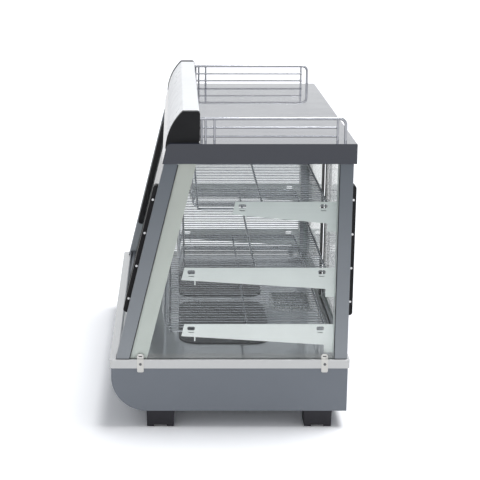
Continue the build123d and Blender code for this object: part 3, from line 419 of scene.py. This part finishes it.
def mm(x, y, z):
    """Give a place in metres from millimetres."""
    return Vector((x * MM, y * MM, z * MM))


def window_place(window, depth, x, z):
    """Give a place on a window, a depth in from the posts' outer face."""
    if window == "front":
        return mm(x, POST_FRONT + (z - SILL) * tan(LEAN) + depth / cos(LEAN), z)
    return mm(x, POST_REAR - depth, z)


def window_turn(window):
    """Give the turn from a piece modelled upright, with its outer side to -Y, to its window."""
    return Matrix.Rotation(-LEAN, 4, "X") if window == "front" else Matrix.Rotation(pi, 4, "Z")


def window_lean(window):
    """Give the turn from upright to a window's lean."""
    return Matrix.Rotation(-LEAN, 4, "X") if window == "front" else Matrix.Identity(4)


def along_window(window, height):
    """Give the length along a window that spans a height."""
    return height / cos(LEAN) if window == "front" else height


def deselect():
    if bpy.context.object and bpy.context.object.mode != "OBJECT":
        bpy.ops.object.mode_set(mode="OBJECT")
    bpy.ops.object.select_all(action="DESELECT")


def choose(piece):
    deselect()
    piece.select_set(True)
    bpy.context.view_layer.objects.active = piece


def settle(piece):
    """Put a piece's place, turn and size into its mesh."""
    choose(piece)
    bpy.ops.object.transform_apply(location=True, rotation=True, scale=True)


def start_block(name, low, high):
    """Start a piece from a block between two corners in millimetres."""
    deselect()
    bpy.ops.mesh.primitive_cube_add(size=1, location=(mm(*low) + mm(*high)) / 2)
    piece = bpy.context.object
    piece.name = name
    piece.scale = mm(*high) - mm(*low)
    settle(piece)
    return piece


def start_round(name, centre, radius, height, turn=(0, 0, 0), corners=32):
    """Start a piece from a closed round, in millimetres, turned about its centre."""
    deselect()
    bpy.ops.mesh.primitive_cylinder_add(
        vertices=corners, radius=radius * MM, depth=height * MM, location=mm(*centre), rotation=turn
    )
    piece = bpy.context.object
    piece.name = name
    settle(piece)
    return piece


def start_edit(piece, mode="FACE"):
    choose(piece)
    bpy.ops.object.mode_set(mode="EDIT")
    bpy.ops.mesh.select_mode(type=mode)
    bpy.ops.mesh.select_all(action="DESELECT")


def end_edit():
    bpy.ops.object.mode_set(mode="OBJECT")


def pick(piece, test, kind="faces"):
    """Select the faces or edges that pass a test, and nothing else."""
    mesh = bmesh.from_edit_mesh(piece.data)
    for element in list(mesh.faces) + list(mesh.edges) + list(mesh.verts):
        element.select_set(False)
    for element in getattr(mesh, kind):
        if test(element):
            element.select_set(True)
    mesh.select_flush_mode()
    bmesh.update_edit_mesh(piece.data)


def middle(edge):
    return (edge.verts[0].co + edge.verts[1].co) / 2


def runs_along(edge, axis):
    """Say whether an edge lies along an axis, 0 to 2."""
    return abs((edge.verts[1].co - edge.verts[0].co).normalized()[axis]) > 0.999


def round_picked(piece, test, radius, segments=5):
    """Round the edges that pass a test."""
    start_edit(piece, "EDGE")
    pick(piece, test, "edges")
    bpy.ops.mesh.bevel(offset=radius * MM, segments=segments, affect="EDGES")
    end_edit()


def push(piece, test, offset):
    """Extrude the faces that pass a test, by an offset in millimetres."""
    start_edit(piece)
    pick(piece, test)
    bpy.ops.mesh.extrude_region_move(TRANSFORM_OT_translate={"value": mm(*offset)})
    end_edit()


def slice_at(piece, place, normal):
    """Cut edges into a piece along a plane and keep both halves."""
    start_edit(piece)
    bpy.ops.mesh.select_all(action="SELECT")
    bpy.ops.mesh.bisect(plane_co=mm(*place), plane_no=normal)
    end_edit()


def apply_modifier(piece, kind, **values):
    """Add a modifier, set it and apply it."""
    choose(piece)
    modifier = piece.modifiers.new(kind.lower(), kind)
    for name, value in values.items():
        setattr(modifier, name, value)
    bpy.ops.object.modifier_apply(modifier=modifier.name)


def smooth_again(piece):
    """Shade a piece smooth, but for its sharp edges."""
    choose(piece)
    bpy.ops.object.shade_smooth_by_angle(angle=radians(35))


def soften(piece, width, segments=2):
    """Break all sharp edges of a piece."""
    apply_modifier(
        piece, "BEVEL", width=width * MM, segments=segments, limit_method="ANGLE", angle_limit=radians(40)
    )
    smooth_again(piece)
    return piece


def combine(piece, other, operation="DIFFERENCE"):
    """Take one piece's shape out of another, or keep what both share."""
    apply_modifier(piece, "BOOLEAN", operation=operation, solver="EXACT", object=other)
    bpy.data.objects.remove(other)
    return piece


def join_up(name, pieces):
    """Make one piece of several."""
    deselect()
    for piece in pieces:
        piece.select_set(True)
    bpy.context.view_layer.objects.active = pieces[0]
    if len(pieces) > 1:
        bpy.ops.object.join()
    pieces[0].name = name
    return pieces[0]


def copy_at(piece, name, place):
    """Copy a piece with its own mesh, moved by an offset or carried by a matrix."""
    twin = bpy.data.objects.new(name, piece.data.copy())
    bpy.context.scene.collection.objects.link(twin)
    twin.data.transform(place if isinstance(place, Matrix) else Matrix.Translation(place))
    return twin


def mirrored(piece, name):
    """Copy a piece to the other end of the counter, with its faces turned right."""
    twin = copy_at(piece, name, Matrix.Scale(-1, 4, (1, 0, 0)))
    twin.data.flip_normals()
    return twin


def place_piece(piece, body, slot, finish, *nodes):
    """Give a finished piece its finish and body, and hide the nodes that it stands for. The slot is not
    used.
    """
    piece.data.materials.clear()
    piece.data.materials.append(finish)
    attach(piece, body)
    if nodes:
        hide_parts(*nodes)


def place_pair(piece, name, finish):
    """Place a black piece of the cabinet at the right end, and its mirror image at the left."""
    place_piece(mirrored(piece, f"{name}_left"), "cabinet", "black_plastic", finish)
    piece.name = f"{name}_right"
    place_piece(piece, "cabinet", "black_plastic", finish)


# CAD nodes


NODE_FINISHES = {
    "base_shell": base_paint,
    "base_end_left": base_paint,
    "base_end_right": base_paint,
    "base_rear_panel": base_paint,
    "trim_frame": trim_steel,
    "deck_tray": deck_steel,
    "heating_plates": plate_black,
    "heating_elements": dull_steel,
    "heat_shields": dull_steel,
    "water_pan": pan_steel,
    "feet": foot_black,
    "control_pan": fitting_black,
    "thermostat_body": fitting_black,
    "thermostat_knob": fitting_black,
    "power_switch_body": fitting_black,
    "light_switch_body": fitting_black,
    "power_rocker": rocker_black,
    "light_rocker": rocker_black,
    "cable_gland": fitting_black,
    "terminal_block": lamp_white,
    "front_post_left": post_paint,
    "front_post_right": post_paint,
    "rear_post_left": post_paint,
    "rear_post_right": post_paint,
    "inner_strips": strip_steel,
    "rack_uprights": bracket_steel,
    "side_glass_left": pane_glass,
    "side_glass_right": pane_glass,
    "glass_clips": clip_steel,
    "clip_screws": screw_metal,
    "roof_shell": roof_paint,
    "roof_liner": sheet_white,
    "cabinet_lamp": lamp_white,
    "front_top_track": track_metal,
    "front_bottom_track": track_metal,
    "rear_top_track": track_metal,
    "rear_bottom_track": track_metal,
    "sign_housing": sheet_white,
    "sign_panel": sign_white,
    "sign_caps": cap_black,
    "sign_lamp": lamp_white,
    "guard_rails": rail_chrome,
    "shelf_brackets_left": bracket_steel,
    "shelf_brackets_right": bracket_steel,
    "rack_bottom": chrome,
    "rack_middle": chrome,
    "rack_top": chrome,
}
for window in ("front", "rear"):
    for side in SIDES:
        NODE_FINISHES[f"door_glass_{window}_{side}"] = door_glass
        NODE_FINISHES[f"door_handle_{window}_{side}"] = handle_black
        NODE_FINISHES[f"handle_screws_{window}_{side}"] = screw_metal


def dress_nodes():
    """Give every CAD node its finish."""
    for name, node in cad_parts.items():
        finish = NODE_FINISHES[name]
        if not node.data.materials:
            node.data.materials.append(finish)
        for index in range(len(node.data.materials)):
            node.data.materials[index] = finish


dress_nodes()


# Door handles, edge strips and glass seals, the seals partly painted shade


def model_handle():
    """Handle with rounded ends, soft long edges and four screw recesses on its right side."""
    half_width, half_length = HANDLE_WIDTH / 2, HANDLE_LENGTH / 2
    past = 1  # how far the profile reaches past the plan
    recess_radius, recess_depth = 2.8, 3.2
    plan = start_block(
        "handle", (-half_width, -HANDLE_THICKNESS, -half_length), (half_width, 0, half_length)
    )
    round_picked(plan, lambda edge: runs_along(edge, 1), HANDLE_ROUND, 8)
    profile = start_block(
        "profile",
        (-half_width - past, -HANDLE_THICKNESS, -half_length),
        (half_width + past, past, half_length),
    )
    round_picked(
        profile,
        lambda edge: runs_along(edge, 0) and middle(edge).y < -HANDLE_THICKNESS / 2 * MM,
        HANDLE_ROUND,
        8,
    )
    handle = combine(plan, profile, "INTERSECT")
    soften(handle, 1.2, 3)
    for row in HANDLE_SCREW_ROWS:
        place = (half_width, -HANDLE_SCREW_HEIGHT, row)
        combine(handle, start_round("recess", place, recess_radius, recess_depth, TO_X, 20))
    return handle


def add_handles():
    right = model_handle()
    left = mirrored(right, "left_handle")
    for window, height in HANDLE_HEIGHTS.items():
        for side_name, side in SIDES.items():
            turned_right = (window == "front") == (side > 0)
            place = window_place(window, DOOR_DEPTHS[window, side], side * HANDLE_X, height)
            piece = copy_at(
                right if turned_right else left,
                f"grip_{window}_{side_name}",
                Matrix.Translation(place) @ window_turn(window),
            )
            smooth_again(piece)
            body = f"{window}_door_{side_name}"
            place_piece(piece, body, "black_plastic", handle_black, f"door_handle_{window}_{side_name}")
    bpy.data.objects.remove(right)
    bpy.data.objects.remove(left)


def model_edge_strip(window):
    """Black channel pushed onto the free edge of a door's glass, with the edge at its left."""
    half_length = along_window(window, EDGE_STRIP_REACH)
    half_width = GLASS / 2 + EDGE_STRIP_WALL
    strip = start_block(
        "edge_strip",
        (-EDGE_STRIP_WALL, -half_width, -half_length),
        (EDGE_STRIP_GRIP, half_width, half_length),
    )
    soften(strip, 0.6)
    slot = start_block(
        "glass_slot",
        (0, -GLASS / 2, -half_length - 5),
        (EDGE_STRIP_GRIP + 1, GLASS / 2, half_length + 5),
    )
    return combine(strip, slot)


def add_edge_strips():
    for window in HANDLE_HEIGHTS:
        right = model_edge_strip(window)
        left = mirrored(right, "left_strip")
        for side_name, side in SIDES.items():
            depth = DOOR_DEPTHS[window, side] + GLASS / 2
            place = window_place(window, depth, side * DOOR_EDGE_X, DOOR_MIDDLE_Z)
            piece = copy_at(
                right if side > 0 else left,
                f"door_edge_strip_{window}_{side_name}",
                Matrix.Translation(place) @ window_lean(window),
            )
            smooth_again(piece)
            place_piece(piece, f"{window}_door_{side_name}", "black_plastic", rubber_black)
        bpy.data.objects.remove(right)
        bpy.data.objects.remove(left)


def add_pane_seals():
    """Thin black seals where the side panes enter the posts, and under the posts. The seals by the panes
    also stand for the shade in the gap beside the posts: painted shade.
    """
    sunk, proud, half_width = 0.2, 0.7, 0.9
    lap_along, lap_across, seat_height = 0.3, 0.4, 1.1
    for window in HANDLE_HEIGHTS:
        half_length = along_window(window, PANE_SEAL_REACH)
        seal = start_block(
            "seal",
            (PANE_OUTER_X - sunk, -half_width, -half_length),
            (PANE_OUTER_X + proud, half_width, half_length),
        )
        soften(seal, 0.3)
        place = window_place(window, POST_DEPTH + proud, 0, (SILL + ROOF_BOTTOM) / 2)
        seal.data.transform(Matrix.Translation(place) @ window_lean(window))
        place_pair(seal, f"pane_seal_{window}", rubber_black)
        outer = window_place(window, -lap_along, POST_INNER_X - lap_across, SILL) / MM
        inner = window_place(window, POST_DEPTH + lap_along, POST_OUTER_X + lap_across, SILL) / MM
        seat = start_block(
            "seat",
            (outer.x, min(outer.y, inner.y), SILL),
            (inner.x, max(outer.y, inner.y), SILL + seat_height),
        )
        soften(seat, 0.3)
        place_pair(seat, f"post_seat_{window}", rubber_black)


# Spring clips and their screws


def model_clip():
    """Clip bent from one strip: a plate on the trim, a step over it and a tab on the pane."""
    low, high = TRIM_BOTTOM - CLIP_BELOW, SILL + CLIP_ABOVE
    outer = PANE_OUTER_X + CLIP_SHEET
    near = 1  # how close to the clip's ends the edges lie that get rounded
    clip = start_block(
        "clip", (SIDE_X, -CLIP_WIDTH / 2, low), (SIDE_X + CLIP_SHEET, CLIP_WIDTH / 2, SILL + CLIP_SHEET)
    )
    slice_at(clip, (0, 0, SILL), (0, 0, 1))
    push(
        clip,
        lambda face: face.normal.x < -0.9 and face.calc_center_median().z > SILL * MM,
        (PANE_OUTER_X - SIDE_X, 0, 0),
    )
    slice_at(clip, (outer, 0, 0), (1, 0, 0))
    push(
        clip,
        lambda face: face.normal.z > 0.9 and face.calc_center_median().x < outer * MM,
        (0, 0, CLIP_ABOVE - CLIP_SHEET),
    )
    round_picked(clip, lambda edge: runs_along(edge, 0) and middle(edge).z < (low + near) * MM, 3)
    round_picked(clip, lambda edge: runs_along(edge, 0) and middle(edge).z > (high - near) * MM, 5)
    slot_low, slot_high = CLIP_SLOT_ROWS
    slot = start_block(
        "slot",
        (PANE_OUTER_X - 2, -CLIP_SLOT_REACH, SILL + slot_low),
        (PANE_OUTER_X + 3, CLIP_SLOT_REACH, SILL + slot_high),
    )
    combine(clip, slot)
    return soften(clip, 0.35)


def model_clip_pad_and_shade():
    """Rubber pad that shows in a clip's slot; its black also stands for the shade between the clip and the
    pane: painted shade.
    """
    lap, thickness = 0.3, 0.5
    slot_low, slot_high = CLIP_SLOT_ROWS
    pad = start_block(
        "clip_pad",
        (PANE_OUTER_X, -CLIP_SLOT_REACH - lap, SILL + slot_low - lap),
        (PANE_OUTER_X + thickness, CLIP_SLOT_REACH + lap, SILL + slot_high + lap),
    )
    return soften(pad, 0.15)


def model_clip_screw():
    """Small domed screw with a cross recess."""
    radius, height, inset = 2.9, 1.2, 1.2
    recess_half, recess_reach = 0.35, 1.6
    base = SIDE_X + CLIP_SHEET
    recess_floor, past = base + 0.5, base + 2.8
    screw = start_round("clip_screw", (base + height / 2, 0, CLIP_SCREW_Z), radius, height, TO_X, 28)
    start_edit(screw)
    pick(screw, lambda face: face.normal.x > 0.9)
    bpy.ops.mesh.inset(thickness=inset * MM)
    end_edit()
    soften(screw, 0.5, 3)
    for y, z in ((recess_half, recess_reach), (recess_reach, recess_half)):
        low, high = (recess_floor, -y, CLIP_SCREW_Z - z), (past, y, CLIP_SCREW_Z + z)
        combine(screw, start_block("recess", low, high))
    return screw


def add_clips():
    for model, name, node, slot, finish in (
        (model_clip, "spring_clips", "glass_clips", "zinc_steel", clip_steel),
        (model_clip_pad_and_shade, "spring_clip_pads_and_shade", None, "black_plastic", rubber_black),
        (model_clip_screw, "spring_clip_screws", "clip_screws", "zinc_steel", screw_dark),
    ):
        first = model()
        right = [copy_at(first, f"{name}_part", mm(0, y, 0)) for y in CLIP_YS]
        left = [mirrored(piece, f"{name}_part") for piece in right]
        bpy.data.objects.remove(first)
        whole = join_up(name, right + left)
        smooth_again(whole)
        place_piece(whole, "cabinet", slot, finish, *([node] if node else []))


# Controls


def add_knob():
    """Knob with a skirt, grooves round its waist and a pointer."""
    start = CONTROL_FACE + KNOB_FLOOR_GAP
    skirt, shoulder, waist, crown = 3, 2.8, 13.4, 0.6
    groove_count, groove_ring, groove_radius, groove_length = 24, 16.4, 1.1, 13
    groove_middle = start + 10.5
    top = start + skirt + waist + crown
    knob = start_round("dial_knob", (KNOB_X, start + skirt / 2, CONTROL_Z), 19, skirt, TO_Y, 72)
    start_edit(knob)
    pick(knob, lambda face: face.normal.y > 0.9)
    bpy.ops.mesh.inset(thickness=shoulder * MM)
    bpy.ops.mesh.extrude_region_move(TRANSFORM_OT_translate={"value": mm(0, waist, 0)})
    bpy.ops.transform.resize(value=(0.93, 1, 0.93), center_override=mm(KNOB_X, start, CONTROL_Z))
    bpy.ops.mesh.inset(thickness=1.5 * MM)
    bpy.ops.transform.translate(value=mm(0, crown, 0))
    end_edit()
    for step in range(1, groove_count):  # none where the pointer is
        turn = 2 * pi * step / groove_count
        place = (KNOB_X + groove_ring * sin(turn), groove_middle, CONTROL_Z + groove_ring * cos(turn))
        combine(knob, start_round("groove", place, groove_radius, groove_length, TO_Y, 10))
    pointer = start_block(
        "pointer", (KNOB_X - 1, top - 0.8, CONTROL_Z + 2), (KNOB_X + 1, top + 3, CONTROL_Z + 17)
    )
    combine(knob, pointer)
    soften(knob, 0.35)
    place_piece(knob, "thermostat_knob", "black_plastic", fitting_black, "thermostat_knob")
    line = start_block(
        "dial_pointer",
        (KNOB_X - 0.7, top - 0.9, CONTROL_Z + 3),
        (KNOB_X + 0.7, top - 0.3, CONTROL_Z + 14),
    )
    soften(line, 0.15)
    place_piece(line, "thermostat_knob", "white_plastic", mark_white)


def add_text(words, height, place):
    """Raised letters that face the rear, made a mesh before they are placed."""
    deselect()
    bpy.ops.object.text_add()
    text = bpy.context.object
    text.data.body = words
    text.data.size = height * MM
    text.data.extrude = 0.12 * MM
    text.data.resolution_u = 2
    text.data.align_x = "CENTER"
    text.data.align_y = "CENTER"
    bpy.ops.object.convert(target="MESH")
    piece = bpy.context.object
    turn = Matrix.Rotation(pi, 4, "Z") @ Matrix.Rotation(pi / 2, 4, "X")
    piece.data.transform(Matrix.Translation(mm(*place)) @ turn)
    return piece


def add_dial():
    """Tick marks and plain numbers round the knob, and signs for on and off on the rockers."""
    tick_half, tick_from, tick_to = 0.35, 20.5, 23
    number_height, number_ring = 4.4, 26.5
    marks = []
    first = start_block(
        "tick", (-tick_half, CONTROL_FACE - 0.1, tick_from), (tick_half, CONTROL_FACE + 0.15, tick_to)
    )
    for step in range(10):
        turn = Matrix.Rotation(step * DIAL_STEP, 4, "Y")
        marks.append(copy_at(first, "tick", Matrix.Translation(mm(KNOB_X, 0, CONTROL_Z)) @ turn))
    bpy.data.objects.remove(first)
    for step in (0, 3, 5, 7, 9):
        turn = step * DIAL_STEP
        x, z = KNOB_X + number_ring * sin(turn), CONTROL_Z + number_ring * cos(turn)
        marks.append(add_text(str(10 * step), number_height, (x, CONTROL_FACE + 0.05, z)))
    dial = join_up("dial_marks", marks)
    place_piece(dial, "cabinet", "white_plastic", mark_white)
    for body, x in ROCKERS.items():
        add_rocker_marks(body, x)


def add_rocker_marks(body, x):
    """A line for on above a ring for off, on the rocker's two faces."""
    line_half, ring_radius, ring_hole, thickness = 0.45, 2.6, 1.8, 0.3
    on = start_block(
        "on_mark", (-line_half, -thickness / 2, -ring_radius), (line_half, thickness / 2, ring_radius)
    )
    soften(on, 0.1)
    on.data.transform(Matrix.Translation(mm(x, ROCKER_PIVOT_Y + 3.02, CONTROL_Z + 6.6)))
    off = start_round("off_mark", (0, 0, 0), ring_radius, thickness, TO_Y, 28)
    combine(off, start_round("hole", (0, 0, 0), ring_hole, 2, TO_Y, 28))
    low = mm(x, ROCKER_PIVOT_Y + 5.1, CONTROL_Z - 5.2)
    off.data.transform(Matrix.Translation(low) @ Matrix.Rotation(2 * ROCKER_TILT, 4, "X"))
    place_piece(join_up(f"{body}_marks", [on, off]), body, "white_plastic", mark_white)


# Heating plates, lamp and panel screws


def add_plate_seals():
    """Soft grey bead round each heating plate."""
    lap, sunk, proud = 1.6, 0.2, 1.7
    low_x, low_y = PLATE_LOW
    high_x, high_y = PLATE_HIGH
    bead = start_block(
        "bead", (low_x - lap, low_y - lap, DECK_TOP - sunk), (high_x + lap, high_y + lap, DECK_TOP + proud)
    )
    round_picked(bead, lambda edge: runs_along(edge, 2), PLATE_CORNER + lap, 12)
    soften(bead, 0.8, 3)
    place_pair(bead, "plate_seal", rubber_black)


def add_lamp_caps():
    """Black end caps on the cabinet lamp."""
    from_x, to_x = 349, 357
    drop, rise = 10.4, 1
    cap = start_block(
        "cap",
        (from_x, LAMP_Y - LAMP_CAP_REACH, ROOF_BOTTOM - drop),
        (to_x, LAMP_Y + LAMP_CAP_REACH, ROOF_BOTTOM + rise),
    )
    round_picked(cap, lambda edge: runs_along(edge, 0) and middle(edge).z < ROOF_BOTTOM * MM, 4)
    soften(cap, 0.5)
    place_pair(cap, "lamp_cap", fitting_black)


def add_panel_screws():
    """Cross-head screws round the rear panel."""
    radius, height = 3.4, 1.4
    recess_half, recess_reach = 0.4, 2
    screw = start_round("panel_screw", (0, BASE_REAR + height / 2, 0), radius, height, TO_Y, 24)
    soften(screw, 0.7, 3)
    for x, z in ((recess_half, recess_reach), (recess_reach, recess_half)):
        combine(screw, start_block("recess", (-x, BASE_REAR + 0.6, -z), (x, BASE_REAR + 3, z)))
    places = [(x, z) for x in PANEL_SCREW_XS for z in PANEL_SCREW_ZS]
    row = [copy_at(screw, "panel_screw", mm(x, 0, z)) for x, z in places]
    bpy.data.objects.remove(screw)
    whole = join_up("rear_panel_screws", row)
    smooth_again(whole)
    place_piece(whole, "cabinet", "zinc_steel", screw_metal)


add_handles()
add_edge_strips()
add_pane_seals()
add_clips()
add_knob()
add_dial()
add_plate_seals()
add_lamp_caps()
add_panel_screws()


# Floor, lights and camera


def make_floor():
    """Pale floor, nearly white to the camera, with the object's shadow."""
    deselect()
    bpy.ops.mesh.primitive_plane_add(size=FLOOR_WIDTH, location=(0, 0, 0))
    floor = bpy.context.object
    floor.name = "floor"
    finish = Finish("floor_paper")
    finish.set(Roughness=1.0, Specular_IOR_Level=0.0)
    paper = finish.noise(3, 2)
    finish.feed("Base Color", finish.blend(finish.span(paper, 0, 1), FLOOR_PAPER, FLOOR_SHADE))
    white = finish.add("ShaderNodeBsdfDiffuse")
    white.inputs["Color"].default_value = FLOOR_WHITE
    path = finish.add("ShaderNodeLightPath")
    mix = finish.add("ShaderNodeMixShader")
    finish.join(path.outputs["Is Camera Ray"], mix.inputs["Fac"])
    finish.join(finish.shader.outputs[0], mix.inputs[1])
    finish.join(white.outputs[0], mix.inputs[2])
    finish.join(mix.outputs[0], finish.output.inputs["Surface"])
    floor.data.materials.append(finish.material)


def make_world():
    """White surroundings for what is seen, a dark screen behind the camera for what is mirrored."""
    world = bpy.data.worlds.new("studio")
    bpy.context.scene.world = world
    world.use_nodes = True
    tree = world.node_tree

    def add(kind, *inputs, **values):
        """Add a node with its settings, and feed its sockets numbers or other nodes' outputs."""
        node = tree.nodes.new(kind)
        for name, value in values.items():
            setattr(node, name, value)
        for socket, value in zip(node.inputs, inputs):
            if isinstance(value, bpy.types.NodeSocket):
                tree.links.new(value, socket)
            else:
                socket.default_value = value
        return node

    def either(share, first, second):
        """Give the first number where the share is 0, and the second where it is 1."""
        return add("ShaderNodeMapRange", share, 0.0, 1.0, first, second).outputs[0]

    back = next(node for node in tree.nodes if node.type == "BACKGROUND")
    back.inputs["Color"].default_value = SKY
    path = add("ShaderNodeLightPath")
    way = add("ShaderNodeTexCoord")
    towards = add("ShaderNodeVectorMath", way.outputs["Generated"], SCREEN_WAY, operation="DOT_PRODUCT")
    screen = add("ShaderNodeMapRange", towards.outputs["Value"], *SCREEN_EDGES, 1.0, SCREEN_LIGHT)
    light = either(path.outputs["Is Glossy Ray"], WORLD_LIGHT, screen.outputs[0])
    light = either(path.outputs["Is Camera Ray"], light, SKY_SEEN)
    tree.links.new(light, back.inputs["Strength"])


def make_lamp(name, way, width, strength):
    """One wide soft lamp that shines from a direction."""
    lamp = bpy.data.lights.new(name, "SUN")
    lamp.energy = strength
    lamp.angle = radians(width)
    holder = bpy.data.objects.new(name, lamp)
    bpy.context.scene.collection.objects.link(holder)
    holder.location = (0, 0, 3)
    holder.rotation_euler = Vector(way).to_track_quat("Z", "Y").to_euler()


def make_camera():
    """Camera at the photograph's place: square to the end of the counter, looking a little down."""
    lens = bpy.data.cameras.new("camera")
    lens.lens = LENS
    lens.sensor_width = 36
    lens.shift_x = CAMERA_SHIFT
    lens.clip_end = 200
    camera = bpy.data.objects.new("camera", lens)
    bpy.context.scene.collection.objects.link(camera)
    camera.location = CAMERA_PLACE
    camera.rotation_euler = (radians(90 - CAMERA_DIP), 0, radians(90))
    bpy.context.scene.camera = camera


make_floor()
make_world()
make_lamp("overhead_lamp", way=(-0.1, 0.25, 1), width=25, strength=2.0)
make_lamp("end_lamp", way=(1, -0.1, 0.02), width=50, strength=1.1)
make_camera()
bpy.context.scene.view_settings.view_transform = "Standard"
